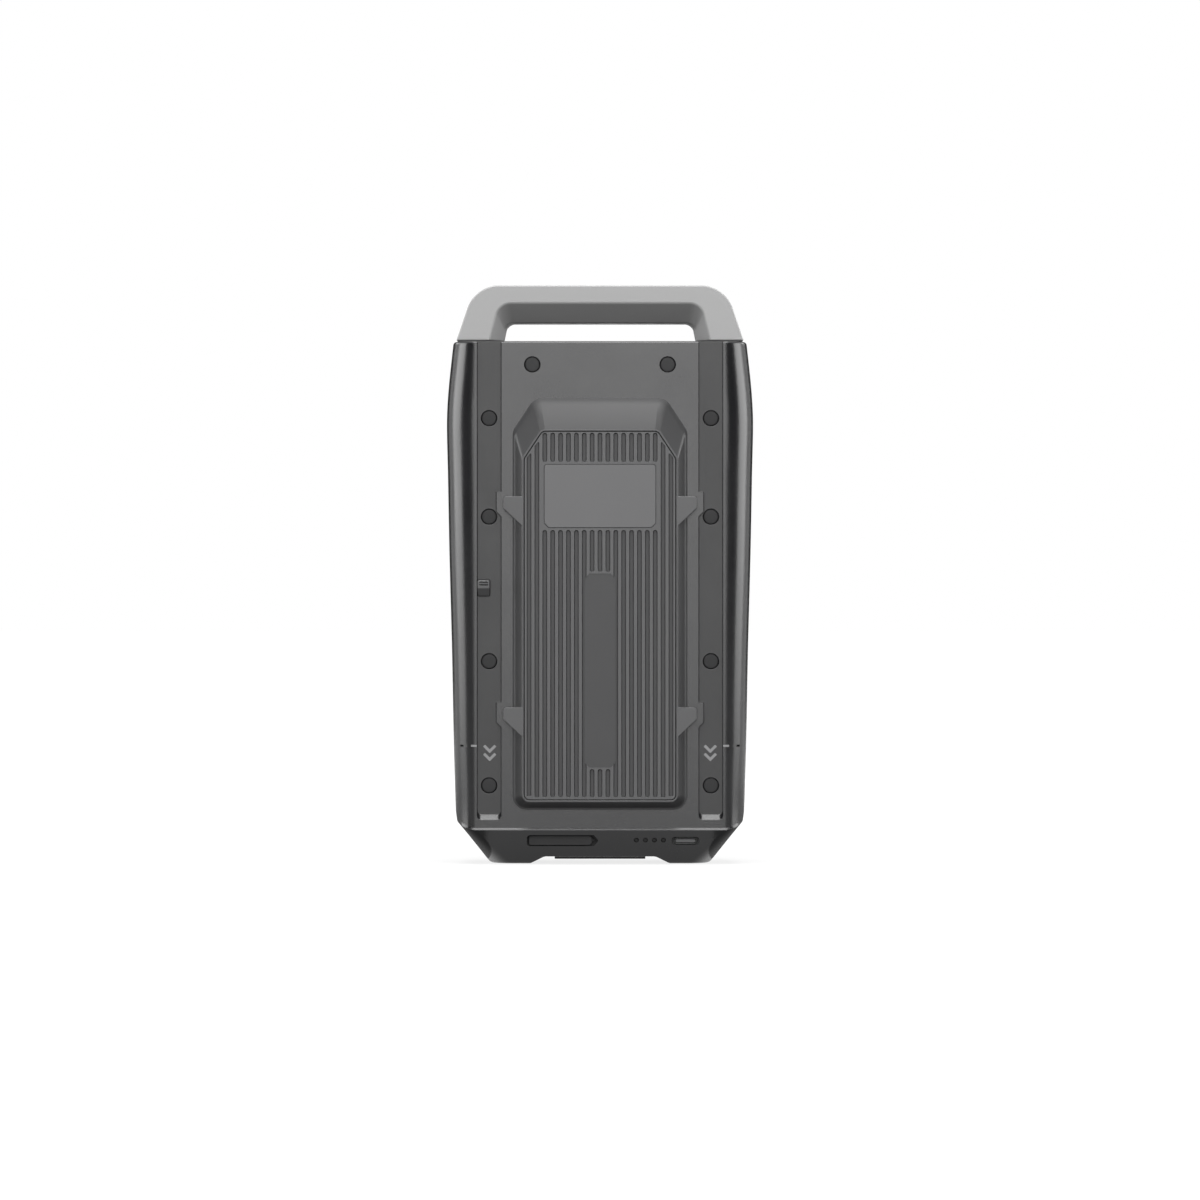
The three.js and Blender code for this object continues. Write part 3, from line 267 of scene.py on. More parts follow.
def on_side(obj, side):
    """A piece made for the right, taken to the left where the side is -1."""
    if side > 0:
        return obj
    left = mirrored(obj)
    bpy.data.objects.remove(obj)
    return left


def combine(obj, tool, operation, keep=False):
    step = obj.modifiers.new("shape", "BOOLEAN")
    step.operation = operation
    step.solver = "MANIFOLD"
    step.object = tool
    only(obj)
    bpy.ops.object.modifier_apply(modifier=step.name)
    if not keep:
        bpy.data.objects.remove(tool)


def cut(obj, *tools, keep=False):
    for tool in tools:
        combine(obj, tool, "DIFFERENCE", keep)


def join(obj, *others):
    for other in others:
        combine(obj, other, "UNION")


def soften(obj, width, steps=2, angle=28, where=everywhere):
    """Gives the sharp edges of a moulding their small radius, those that the test picks."""
    work(obj, "VERT", everywhere, bpy.ops.mesh.remove_doubles, threshold=HAIR * MM)
    flat = math.radians(0.05)
    work(obj, "FACE", everywhere, bpy.ops.mesh.dissolve_limited, angle_limit=flat)
    pick(obj, "EDGE", where)
    sides = {}
    for face in obj.data.polygons:
        for key in face.edge_keys:
            sides.setdefault(key, []).append(face.normal.copy())
    sharp = math.radians(angle)
    for edge in obj.data.edges:
        pair = sides[edge.key]
        edge.select = edge.select and len(pair) == 2 and pair[0].angle(pair[1], 0) > sharp
    edit(bpy.ops.mesh.bevel, offset=width * MM, segments=steps, profile=0.5, affect="EDGES")


def smooth(obj, angle=40):
    """Smooth shading that leaves the large faces flat."""
    only(obj)
    bpy.ops.object.shade_smooth_by_angle(angle=math.radians(angle))
    step = obj.modifiers.new("flats", "WEIGHTED_NORMAL")
    step.keep_sharp = True
    bpy.ops.object.modifier_apply(modifier=step.name)


# -------outlines
# An outline is a row of corners (x, z, radius), anticlockwise as the front view shows them.

def around(corners):
    """Each corner with its two neighbours."""
    count = len(corners)
    return [(corners[i - 1], corners[i], corners[(i + 1) % count]) for i in range(count)]


def arc(before, here, after):
    """Centre of a corner's arc, and how far from the corner it starts."""
    corner = Vector(here[:2])
    back = (Vector(before[:2]) - corner).normalized()
    on = (Vector(after[:2]) - corner).normalized()
    half = back.angle(on) / 2
    centre = corner + (back + on).normalized() * here[2] / math.sin(half)
    return centre, here[2] / math.tan(half)


def grown(corners, by):
    """The outline with every side moved outwards, its radii with it."""
    result = []
    for before, here, after in around(corners):
        first = Vector((here[1] - before[1], before[0] - here[0])).normalized()
        second = Vector((after[1] - here[1], here[0] - after[0])).normalized()
        shift = (first + second) * by / (1 + first.dot(second))
        result.append((here[0] + shift.x, here[1] + shift.y, max(here[2] + by, 0.25)))
    return result


def oblong(left, low, right, high, radius):
    return [(left, low, radius), (right, low, radius), (right, high, radius), (left, high, radius)]


def pill(x, z, half_wide, half_tall, radius):
    """An oblong about its centre."""
    return oblong(x - half_wide, z - half_tall, x + half_wide, z + half_tall, radius)


def plate(name, corners, front, back, steps=6):
    """A straight piece along Y: a block, sliced to the outline's sides, its corners rounded."""
    xs = [corner[0] for corner in corners]
    zs = [corner[1] for corner in corners]
    obj = box(name, (min(xs), front, min(zs)), (max(xs), back, max(zs)))
    for _, here, after in around(corners):
        upright = abs(here[0] - after[0]) < 1e-6
        level = abs(here[1] - after[1]) < 1e-6
        if not upright and not level:
            slice_off(obj, (here[0], 0, here[1]), (after[1] - here[1], 0, here[0] - after[0]))
    for before, here, after in around(corners):
        if not here[2]:
            continue
        _, reach = arc(before, here, after)
        def at_corner(a, b):
            return all(math.hypot(p.x - here[0], p.z - here[1]) < HAIR for p in (a, b))
        round_edges(obj, at_corner, reach, steps)
    return obj


def fit_ring(obj, y, old, new):
    """Takes one ring of a plate from its old outline to a new one, corner by corner."""
    for was, now in zip(around(old), around(new)):
        (centre, reach), (place, _) = arc(*was), arc(*now)
        corner = was[1]
        ratio = now[1][2] / corner[2] if corner[2] else 1
        def on_corner(p):
            away = math.hypot(p.x - corner[0], p.z - corner[1])
            return near(p.y, y) and away < reach + 2 * HAIR
        pick(obj, "VERT", on_corner)
        bpy.ops.object.mode_set(mode="EDIT")
        middle = (centre.x * MM, y * MM, centre.y * MM)
        bpy.ops.transform.resize(value=(ratio, 1, ratio), center_override=middle)
        shift = (place - centre) * MM
        bpy.ops.transform.translate(value=(shift.x, 0, shift.y))
        bpy.ops.object.mode_set(mode="OBJECT")


# -------body form

def half_at(z):
    """Half width of the flank at a height, on a smooth curve through the measured places."""
    if z <= FLARE_Z:
        return BASE_HALF + (FLANK[0][1] - BASE_HALF) * z / FLARE_Z
    for i in range(len(FLANK) - 1):
        (z0, h0), (z1, h1) = FLANK[i], FLANK[i + 1]
        if z <= z1:
            before = FLANK[max(i - 1, 0)]
            after = FLANK[min(i + 2, len(FLANK) - 1)]
            m0 = (h1 - before[1]) / (z1 - before[0]) * (z1 - z0)
            m1 = (after[1] - h0) / (after[0] - z0) * (z1 - z0)
            t = (z - z0) / (z1 - z0)
            curve = (2 * t**3 - 3 * t**2 + 1) * h0 + (t**3 - 2 * t**2 + t) * m0
            curve += (3 * t**2 - 2 * t**3) * h1 + (t**3 - t**2) * m1
            return min(curve, WIDEST)
    return FLANK[-1][1]


def fit_level(obj, z, half, flat_share, inset):
    """Gives the body's four upright corners their width at one height."""
    lean = max(0, 1 - z / CREASE_Z) if flat_share < 1 else 0
    wide = FRONT_FLAT + FRONT_CORNER
    for front in (True, False):
        corner = (FRONT_CORNER if front else REAR_CORNER) - inset
        full = FRONT_FLAT if front else REAR_FLAT
        flat = BASE_FLAT + (full - BASE_FLAT) * flat_share
        start = wide - corner
        ratio = (half - inset - flat) / corner
        back = FRONT_LEAN * lean if front else -REAR_LEAN * lean
        for side in (1, -1):
            def here(p):
                return near(p.z, z) and p.x * side > start - HAIR and (p.y < 0) == front
            move(obj, here, (side * (flat - start), back, 0))
            def now(p):
                return near(p.z, z) and p.x * side > flat - HAIR and (p.y < 0) == front
            stretch(obj, now, (ratio, 1, 1), (side * flat, 0, 0))


def body_form(name, inset, steps, levels, low, high):
    """The body's outside, or the room inside it when drawn in by an inset."""
    wide = FRONT_FLAT + FRONT_CORNER
    obj = box(name, (-wide, FACE_Y + inset, low), (wide, REAR_Y - inset, high))
    for y, corner in ((FACE_Y + inset, FRONT_CORNER), (REAR_Y - inset, REAR_CORNER)):
        def at_corner(a, b):
            return near(a.y, y) and near(b.y, y) and near(abs(a.x), wide) and near(a.x, b.x)
        round_edges(obj, at_corner, corner - inset, steps)
    for z in levels:
        score(obj, (0, 0, z), (0, 0, 1))
    fit_level(obj, low, half_at(low), low / CREASE_Z, inset)
    for z in [*levels, high]:
        fit_level(obj, z, half_at(max(z, FLARE_Z)), 1, inset)
    return obj


def raise_crease(obj, z, steps, lip=0, tuck=0, lift=0, inset=0):
    """Lifts a ring from the front crease's height to the side crease's, round the corners.

    The lip stands out in front, and the tuck and the lift round the crease at the sides.
    """
    rise = FLARE_Z - CREASE_Z
    half = half_at(FLARE_Z) - inset
    places = []
    for front in (True, False):
        flat = FRONT_FLAT if front else REAR_FLAT
        corner = (FRONT_CORNER if front else REAR_CORNER) - inset
        for i in range(steps + 1):
            turn = math.pi / 2 * i / steps
            x = flat + (half - flat) * math.sin(turn)
            y = corner * (1 - math.cos(turn)) + inset
            y = FACE_Y + y if front else REAR_Y - y
            out = lip * math.cos(turn * 0.8) if front else 0
            up = rise * math.sin(turn) ** 2 + lift * math.sin(turn) ** 3
            inwards = tuck * math.sin(turn) ** 3
            for side in (1, -1):
                def here(p):
                    return near(p.z, z) and abs(p.x - side * x) < 0.3 and abs(p.y - y) < 0.3
                shift = (side * (out * math.sin(turn) - inwards), -out * math.cos(turn), up)
                move(obj, here, shift)
                places.append(Vector((side * x + shift[0], y + shift[1], z + up)))
    return places


def whole_body():
    """The body's outside: a sharp crease over the foot, rounded rims at the top and the base."""
    low, high = CREASE_Z - 0.55, CREASE_Z + 0.8
    obj = body_form("body_form", 0, BODY_STEPS, [low, high, *BODY_LEVELS], 0, BODY_TOP)
    crease = raise_crease(obj, low, BODY_STEPS, lip=0.9, tuck=1.1, lift=-0.25)
    raise_crease(obj, high, BODY_STEPS, lift=3.55)

    def on_crease(p):
        return abs(p.x) < 86 and p.y < 0 and any((p - place).length < 0.4 for place in crease)

    def along_crease(a, b):
        return on_crease(a) and on_crease(b) and abs(a.z - b.z) < 3
    round_edges(obj, along_crease, 0.15, 2)
    round_edges(obj, lambda a, b: min(a.z, b.z) > BODY_TOP - HAIR, 1.6, 4)
    round_edges(obj, lambda a, b: max(a.z, b.z) < HAIR, 1.5, 3)
    return obj


def dish(margin):
    """Wide shallow arc along Y that hollows the top under the handle."""
    radius = (DISH_HALF**2 + DISH_DEPTH**2) / (2 * DISH_DEPTH)
    centre = BODY_TOP - DISH_DEPTH + radius
    return rod("dish", radius + margin, DISH_FRONT - margin, 60, z=centre, sides=320)


def room_inside():
    """The hollow of the body, less what the shells keep solid."""
    ahead = FACE_Y - 1
    room = body_form("room", WALL, ROOM_STEPS, ROOM_LEVELS, FLOOR_Z, CEILING_Z)
    raise_crease(room, CREASE_Z, ROOM_STEPS, inset=WALL)
    for side in (1, -1):
        inner, outer = sorted((side * (CHANNEL_IN - WALL), side * (CHANNEL_OUT + WALL)))
        cut(room, box("backing", (inner, ahead, 0), (outer, CHANNEL_Y + 2.4, 330)))
    cut(room, box("port_bar", (-52, ahead, 0), (64, PORT_BAR_Y, 20)))
    cut(room, dish(WALL))
    for x, z in PLUGS:
        for side in (1, -1):
            cut(room, rod("boss", 6.5, ahead, PART_Y, x=side * x, z=z, sides=24))
            cut(room, rod("boss", 4.8, PART_Y, REAR_Y + 1, x=side * x, z=z, sides=24))
    return room


# -------cutters

def channel_cutter(side):
    """Guide channel with a ramp at its foot and steps beside the hook ears."""
    top = BODY_TOP + 6
    obj = plate("channel", [
        (CHANNEL_IN, CHANNEL_FOOT, 2.5),
        (CHANNEL_OUT, CHANNEL_FOOT, 2.5),
        (CHANNEL_OUT, top, 0.3),
        (CHANNEL_IN, top, 0.3),
    ], -45, CHANNEL_Y)
    score(obj, (0, FACE_Y, 0), (0, 1, 0))
    ramp = 3
    move(obj, lambda p: p.y > CHANNEL_Y - 0.1 and p.z < CHANNEL_FOOT + 3, (0, 0, ramp))
    inside, step = CHANNEL_IN - 3, CHANNEL_IN + 3
    for ear_top in EAR_TOPS:
        low, high = ear_top - 9.2, ear_top + 2.9
        cut(obj, plate("island", [
            (inside, low - 6, 0.25),
            (step, low, 0.6),
            (step, high, 0.6),
            (inside, high, 0.25),
        ], -47, -30, 2))
    return on_side(obj, side)


def arch():
    """Arch under the base, right through."""
    foot = [(-46.6, -2, 0.3), (46.6, -2, 0.3), (34, 4.3, 5), (-34, 4.3, 5)]
    return plate("arch", foot, -50, 50, 6)


def flap_pocket():
    """Outline of the flap's pocket: rounded at the hinge, drawn to a blunt point at the tab."""
    left, right, low, high = -44.4, -1.3, 11.1, 17.4
    shoulder = right - 2.6
    corners = [(left, low, 1.7), (shoulder, low, 0.4), (right, FLAP_Z, 0.5)]
    return grown(corners + [(shoulder, high, 0.4), (left, high, 1.7)], FLAP_GAP)


def tenon_opening(side):
    x = side * TENON_X
    wide, deep = 7.8, 8.3
    low = (x - wide, PART_Y - deep, CEILING_Z - 2)
    high = (x + wide, PART_Y + deep, BODY_TOP + 2)
    obj = box("tenon_opening", low, high)
    round_edges(obj, runs_along_z, 2.3, 4)
    return obj


def handle_screw_bore(side, front, rear):
    return rod("screw_bore", 2.5, front, rear, x=side * TENON_X, z=309, sides=24)


def port_cutters():
    """Flap pocket, socket mouths, lamp bores and the button's pocket in the front incline."""
    ahead, behind = -40, PORT_BAR_Y + 2
    tools = [plate("flap_pocket", flap_pocket(), ahead, FLAP_FLOOR_Y)]
    for x in (-33, -14):
        tools.append(plate("socket_mouth", pill(x, FLAP_Z, 4.8, 1.95, 1.85), FLAP_Y, behind))
    for x in LAMPS:
        tools.append(rod("lamp_bore", 1.45, ahead, behind, x=x, z=LAMP_Z, sides=32))
    pocket = pill(BUTTON_X, BUTTON_Z, 8.4, 2.5, 1.8)
    tools.append(plate("button_pocket", pocket, ahead, -29.08))
    hole = pill(BUTTON_X, BUTTON_Z, 7.3, 2.3, 2.2)
    tools.append(plate("button_hole", hole, -36, behind))
    return tools


def catch_window():
    return plate("catch_window", oblong(-74.9, 163.2, -66.9, 173.6, 1.3), -34, -27)


# -------raised block

def block_outline(half, low, high, cut_share, radius):
    """A tall outline whose two upper corners are cut off."""
    wide, tall = 12.8 * cut_share, 19.4 * cut_share
    places = [(-half, low), (half, low), (half, high - tall)]
    places += [(half - wide, high), (wide - half, high), (-half, high - tall)]
    return [(x, z, radius) for x, z in places]


FOOT_HALF = 52.3
TOP_HALF = 47.4
FOOT_LOW = 34.1
BLOCK_FOOT = block_outline(FOOT_HALF, FOOT_LOW, 283.2, 1, 7.5)
BLOCK_TOP = block_outline(TOP_HALF, 38.1, 265, TOP_HALF / FOOT_HALF, 4.5)


def between(share):
    """The block's outline part of the way from its foot to its top."""
    return [
        tuple(a + (b - a) * share for a, b in zip(foot, top))
        for foot, top in zip(BLOCK_FOOT, BLOCK_TOP)
    ]


def raised_cover():
    """Block with sloping sides and four hook ears, faired into the main face, hollow behind."""
    foot_y, flange_y = -35.04, -29.9
    rings = [
        (foot_y, grown(BLOCK_FOOT, 1.0)),
        (-35.12, grown(BLOCK_FOOT, 0.62)),
        (-35.3, grown(between(0.03), 0.3)),
        (-35.7, grown(between(0.0875), 0.08)),
        (-36.3, between(0.1625)),
        (FRONT_Y, BLOCK_TOP),
    ]
    obj = plate("raised_cover_moulding", BLOCK_FOOT, FRONT_Y, foot_y, 8)
    for y, _ in rings[1:-1]:
        score(obj, (0, y, 0), (0, 1, 0))
    for y, outline in rings:
        fit_ring(obj, y, BLOCK_FOOT, outline)
    for side in (1, -1):
        for top in EAR_TOPS:
            outline = [(EAR_IN, top - 20.94, 0), (EAR_OUT, top - 7.3, 0.8)]
            outline += [(EAR_OUT, top, 1.6), (EAR_IN, top, 0)]
            ear = plate("ear", outline, FRONT_Y, FRONT_Y + 3, 4)
            post = plate("post", outline, FRONT_Y, -36.4, 4)
            slice_off(post, (POST_OUT, 0, 0), (1, 0, 0))
            for piece in (ear, post):
                join(obj, on_side(piece, side))
    cut(obj, plate("seat", grown(BLOCK_TOP, -1.1), FRONT_Y - 2, FRONT_Y + 2.5, 8))
    soften(obj, 0.4, 3, where=lambda a, b: max(a.y, b.y) < -36.5)
    join(obj, plate("neck", grown(BLOCK_FOOT, -0.1), -35.2, flange_y, 8))
    join(obj, plate("flange", grown(BLOCK_FOOT, 4), flange_y - 2, flange_y, 8))
    hollow = [(x * 0.93, 44 + (z - FOOT_LOW) * 0.83, radius) for x, z, radius in BLOCK_FOOT]
    cut(obj, plate("hollow", hollow, -38.1, -28, 4))
    smooth(obj)
    return obj


# -------ribbed insert and label

SLOT_TOP = 1.35
SLOT_FLOOR = 0.95
SLOT_DEPTH = 1.2
SLOT_PITCH = 4.8
SLOT_SLANT = 1.25
PAD_DEPTH = 0.35
LABEL = (-34.2, 204.9, 34.2, 243.8)
PAD = (-9.5, 59.1, 9.5, 177.2)


def slot(x, low, high, slant=0):
    """Cutter of one groove, drafted, with round ends and a broken edge.

    A slant makes the upper end follow the block's cut corner.
    """
    def outline(half, radius):
        right_end = high - (slant * 2 * half if slant > 0 else 0)
        left_end = high + (slant * 2 * half if slant < 0 else 0)
        return [
            (x - half, low + SLOT_TOP - half, radius),
            (x + half, low + SLOT_TOP - half, radius),
            (x + half, right_end - SLOT_TOP + half, radius),
            (x - half, left_end - SLOT_TOP + half, radius),
        ]
    ahead, edge, floor = FRONT_Y - 0.4, FRONT_Y + 0.15, FRONT_Y + SLOT_DEPTH
    share = 0.5 if slant else 0.96
    halves = {ahead: SLOT_TOP + 0.5, edge: SLOT_TOP - 0.05, floor: SLOT_FLOOR}
    outlines = {y: outline(half, half * share) for y, half in halves.items()}
    obj = plate("slot", outlines[ahead], ahead, floor, 5)
    score(obj, (0, edge, 0), (0, 1, 0))
    for y in (edge, floor):
        fit_ring(obj, y, outlines[ahead], outlines[y])
    return obj


def chamfered(left, low, right, high, low_cut, high_cut, radius):
    """A rectangle whose corners are cut at 45 degrees."""
    places = [(left + low_cut, low), (right - low_cut, low), (right, low + low_cut)]
    places += [(right, high - high_cut), (right - high_cut, high), (left + high_cut, high)]
    places += [(left, high - high_cut), (left, low + low_cut)]
    return [(x, z, radius) for x, z in places]


def ribbed_insert():
    """Insert with nineteen grooves that leave the pad and the label's frame standing."""
    outside = grown(BLOCK_TOP, -1.4)
    obj = plate("ribbed_insert_moulding", outside, FRONT_Y, FRONT_Y + 2.2, 8)
    score(obj, (0, FRONT_Y + 0.3, 0), (0, 1, 0))
    fit_ring(obj, FRONT_Y, outside, grown(outside, -0.25))
    low, high = 41, 262.8
    under_label, over_label = LABEL[1] - 1.3, LABEL[3] + 1.3
    slots = []
    for i in range(-9, 10):
        x = i * SLOT_PITCH
        size = abs(i)
        slant = SLOT_SLANT * (1 if x > 0 else -1)
        if size == 9:
            runs = [(low + 0.6, 251.2, slant)]
        elif size == 8:
            runs = [(low, 258.2, slant)]
        elif size < 2:
            runs = [(over_label, high), (PAD[3] + 1, under_label), (low, PAD[1] - 1)]
        else:
            runs = [(over_label, high), (low, under_label)]
        slots += [slot(x, *run) for run in runs]
    pad_outline = chamfered(*PAD, 3, 3, 0.4)
    pad = plate("pad", pad_outline, FRONT_Y - 3, FRONT_Y + 3, 3)
    outline = chamfered(-35.2, 203.9, 35.2, 244.8, 3.4, 1.8, 0.6)
    label_frame = plate("label_frame", outline, FRONT_Y - 3, FRONT_Y + 3, 3)
    tool = slots[0]
    only(tool)
    for other in slots[1:]:
        other.select_set(True)
    bpy.ops.object.join()
    cut(tool, pad, label_frame)
    cut(obj, tool)
    cut(obj, plate("pad_face", pad_outline, FRONT_Y - 2, FRONT_Y + PAD_DEPTH, 3))
    seat = chamfered(*LABEL, 2.8, 1.2, 1.2)
    cut(obj, plate("label_seat", seat, FRONT_Y - 2, FRONT_Y + 1, 5))
    smooth(obj)
    return obj


def label_plate():
    """Blank label with softly rounded edges."""
    left, low, right, high = LABEL
    gap = 0.3
    outline = chamfered(left + gap, low + gap, right - gap, high - gap, 2.7, 1.1, 1.1)
    obj = plate("label_sheet", outline, FRONT_Y + 0.05, FRONT_Y + 0.7, 5)
    soften(obj, 0.25, 3)
    smooth(obj)
    return obj


# -------shells

def to_soften(a, b):
    """All of the shell's edges but the dish's thin ends and the crease, which stays crisp."""
    on_top = max(abs(a.x), abs(b.x)) > 50 and min(a.z, b.z) > 310
    at_cusp = on_top and abs(a.y - b.y) < 1 and abs(a.y - DISH_FRONT) < 0.1
    at_crease = min(a.z, b.z) > 19.5 and max(a.z, b.z) < 24.5
    return not at_cusp and not at_crease


def front_shell(obj, room, inner_skin):
    """The outside is cut and softened first, as a solid, and hollowed after that."""
    slice_off(obj, (0, PART_Y - PARTING_GAP / 2, 0), (0, 1, 0))
    for side in (1, -1):
        cut(obj, channel_cutter(side))
        cut(obj, tenon_opening(side))
        for x, z in PLUGS:
            face = plug_face(x)
            cut(obj, rod("plug_bore", PLUG_BORE, face - 4, face + 14, x=side * x, z=z, sides=64))
    cut(obj, arch(), dish(0))
    opening = grown(BLOCK_FOOT, SEAT_GAP)
    cut(obj, plate("cover_opening", opening, FACE_Y - 2, FACE_Y + WALL + 2, 8))
    soften(obj, SHELL_EDGE, where=to_soften)
    cut(obj, room, keep=True)
    for side in (1, -1):
        cut(obj, handle_screw_bore(side, -19, PART_Y))
        for x, z in PLUGS:
            cut(obj, rod("pilot", SCREW_PILOT, plug_face(x), 10, x=side * x, z=z, sides=24))
        left, right = sorted((side * 80.9, side * 85.3))
        outline = oblong(left, DASH_LOW, right, DASH_HIGH, 0.3)
        groove = plate("depth_groove", outline, -40, FACE_Y + 9, 2)
        cut(groove, inner_skin, keep=True)
        cut(obj, groove)
    cut(obj, catch_window(), *port_cutters())
    smooth(obj, 30)
    return obj


def tongue(room):
    """Lip that closes the parting line from inside, so no light shows through it."""
    low, high = 1.2, BODY_TOP - 1.4
    obj = body_form("tongue", TONGUE_INSET, ROOM_STEPS, ROOM_LEVELS, low, high)
    raise_crease(obj, CREASE_Z, ROOM_STEPS, inset=TONGUE_INSET)
    slice_off(obj, (0, PART_Y - PARTING_GAP / 2 + 0.02, 0), (0, -1, 0))
    slice_off(obj, (0, PART_Y + 1.5, 0), (0, 1, 0))
    cut(obj, room, keep=True)
    cut(obj, arch(), dish(TONGUE_INSET), tenon_opening(1), tenon_opening(-1))
    return obj


def rear_shell(obj, room):
    slice_off(obj, (0, PART_Y + PARTING_GAP / 2, 0), (0, -1, 0))
    for side in (1, -1):
        cut(obj, tenon_opening(side))
    cut(obj, arch(), dish(0))
    cut(obj, box("dock_opening", (-28.3, 13.7, -2), (28.3, 28.3, FLOOR_Z + 2)))
    soften(obj, SHELL_EDGE)
    cut(obj, room, keep=True)
    for side in (1, -1):
        for x, z in PLUGS:
            end = plug_face(x) + 54
            cut(obj, rod("pilot", SCREW_PILOT, -2, end, x=side * x, z=z, sides=24))
    join(obj, tongue(room))
    smooth(obj, 30)
    return obj


# -------handle

def handle():
    """Carry handle with raked legs. Its throat narrows from both faces to the bar's middle."""
    def across(low_half, low, high_half, high, radius):
        corners = [(-low_half, low, 0), (low_half, low, 0)]
        return corners + [(high_half, high, radius), (-high_half, high, radius)]

    front, rear = PART_Y - 19, PART_Y + 19
    obj = plate("handle_moulding", across(88.1, 320, 76.54, 354, 19.8), front, rear, 16)
    mouth = across(68.58, 316, 61.97, 343, 9)
    waist = across(61.3, 316, 58.26, 331.2, 5.5)
    middle = across(59.4, 316, 56.48, 330.6, 5.2)
    throat = plate("throat", mouth, front - 1, rear + 1, 12)
    rings = {front: mouth, front + 12: waist, PART_Y: middle, rear - 12: waist, rear: mouth}
    for y in rings:
        score(throat, (0, y, 0), (0, 1, 0))
    for y, outline in rings.items():
        if outline is not mouth:
            fit_ring(throat, y, mouth, outline)
    cut(obj, throat)
    for side in (1, -1):
        x = side * TENON_X
        tenon = box("tenon", (x - 7.5, PART_Y - 8, 302), (x + 7.5, PART_Y + 8, 322))
        round_edges(tenon, runs_along_z, 2, 4)
        join(obj, tenon)
        cut(obj, handle_screw_bore(side, front, rear))
    soften(obj, 1.0, 4)
    smooth(obj, 50)
    return obj


# -------small pieces

def screw_plug():
    """Push-in rubber plug with a low crown, its face 0.4 mm behind Y = 0."""
    obj = rod("plug", 4.5, 0.4, 3.4, sides=64)
    crown, shoulder = 2.5, 4
    work(obj, "FACE", looks_ahead, bpy.ops.mesh.inset, thickness=1.2 * MM)
    def middle(c, n):
        return looks_ahead(c, n) and abs(c.x) + abs(c.z) < HAIR
    work(obj, "FACE", middle, bpy.ops.mesh.inset, thickness=1.4 * MM)
    move(obj, lambda p: p.y < 0.5 and math.hypot(p.x, p.z) < crown, (0, -0.12, 0))
    move(obj, lambda p: p.y < 0.5 and crown < math.hypot(p.x, p.z) < shoulder, (0, -0.07, 0))
    soften(obj, 0.45, 3, 50)
    smooth(obj, 60)
    return obj


def port_flap():
    """Rubber flap, round at its hinge end, with a finger tab and a dimple at the other."""
    left, right, low, high = -43.5, -4.9, 11.4, 17.1
    clip = 1.3
    outline = [(left, low, 1.5), (right - clip, low, 0.4), (right, low + clip, 0.4)]
    outline += [(right, high - clip, 0.4), (right - clip, high, 0.4), (left, high, 1.5)]
    obj = plate("flap_moulding", outline, FLAP_Y, FLAP_BACK_Y)
    def hinge_end(a, b):
        return near(a.x, left) and near(b.x, left) and near(a.y, b.y)
    round_edges(obj, hinge_end, 1.1, 5)
    tab = [(right - 1, 13.5, 0), (-3, 13.9, 0), (-3, 14.9, 0), (right - 1, 15.3, 0)]
    join(obj, plate("tab", tab, -28.2, -27.1))
    soften(obj, 0.25, 3)
    cut(obj, rod("dimple", 0.8, FLAP_Y - 1, FLAP_Y + 0.35, x=-11.3, z=13.2, sides=32))
    line = oblong(left + 3.1, low - 1, left + 3.5, high + 1, 0)
    cut(obj, plate("slit", line, FLAP_Y - 1, FLAP_Y + 0.3, 2))
    smooth(obj)
    return obj


def button_bezel(low, high):
    """Glossy frame of the button."""
    obj = plate("bezel_moulding", pill(BUTTON_X, BUTTON_Z, 7, 2, 1.95), low, high, 10)
    cut(obj, plate("hole", pill(BUTTON_X, BUTTON_Z, 6.4, 1.4, 1.35), low - 2, high + 2, 10))
    soften(obj, 0.2, 3)
    smooth(obj)
    return obj


def power_button(low, high):
    """Pill-shaped button with a crowned face."""
    obj = plate("button_moulding", pill(BUTTON_X, BUTTON_Z, 6.1, 1.1, 1.05), low, high, 10)
    work(obj, "FACE", looks_ahead, bpy.ops.mesh.inset, thickness=0.3 * MM)
    def crown(p):
        return p.y < low + HAIR and abs(p.z - BUTTON_Z) < 0.95 and abs(p.x - BUTTON_X) < 5.95
    move(obj, crown, (0, -0.12, 0))
    soften(obj, 0.14, 2, 50)
    smooth(obj, 60)
    return obj


def light_guide(low, high):
    """Four clear pins on a rail behind the incline."""
    outline = oblong(LAMPS[0] - 3, LAMP_Z - 2, LAMPS[-1] + 3, LAMP_Z + 2, 0.8)
    rail = plate("rail", outline, high - 2, high)
    for x in LAMPS:
        join(rail, rod("pin", 1.15, low, high - 1, x=x, z=LAMP_Z, sides=32))
    soften(rail, 0.15)
    smooth(rail)
    return rail


def spring_catch(back):
    """Catch with a flat nose and a ramp below it, on a flange behind the channel's floor."""
    nose = -37
    obj = plate("catch_moulding", oblong(-74.6, 163.5, -67.2, 173.3, 1), nose, back)
    slice_off(obj, (0, nose, 168.1), (0, -4.6, -3.6))
    slice_off(obj, (0, nose, 172.6), (0, -0.5, 0.6))
    for z in (170.3, 171.9):
        line = oblong(-73.4, z - 0.2, -68.4, z + 0.2, 0.18)
        cut(obj, plate("grip_line", line, nose - 1, nose + 0.2, 2))
    join(obj, plate("flange", oblong(-76.6, 161.5, -65.2, 175.3, 1.5), back - 2, back))
    soften(obj, 0.3, 3)
    smooth(obj)
    return obj


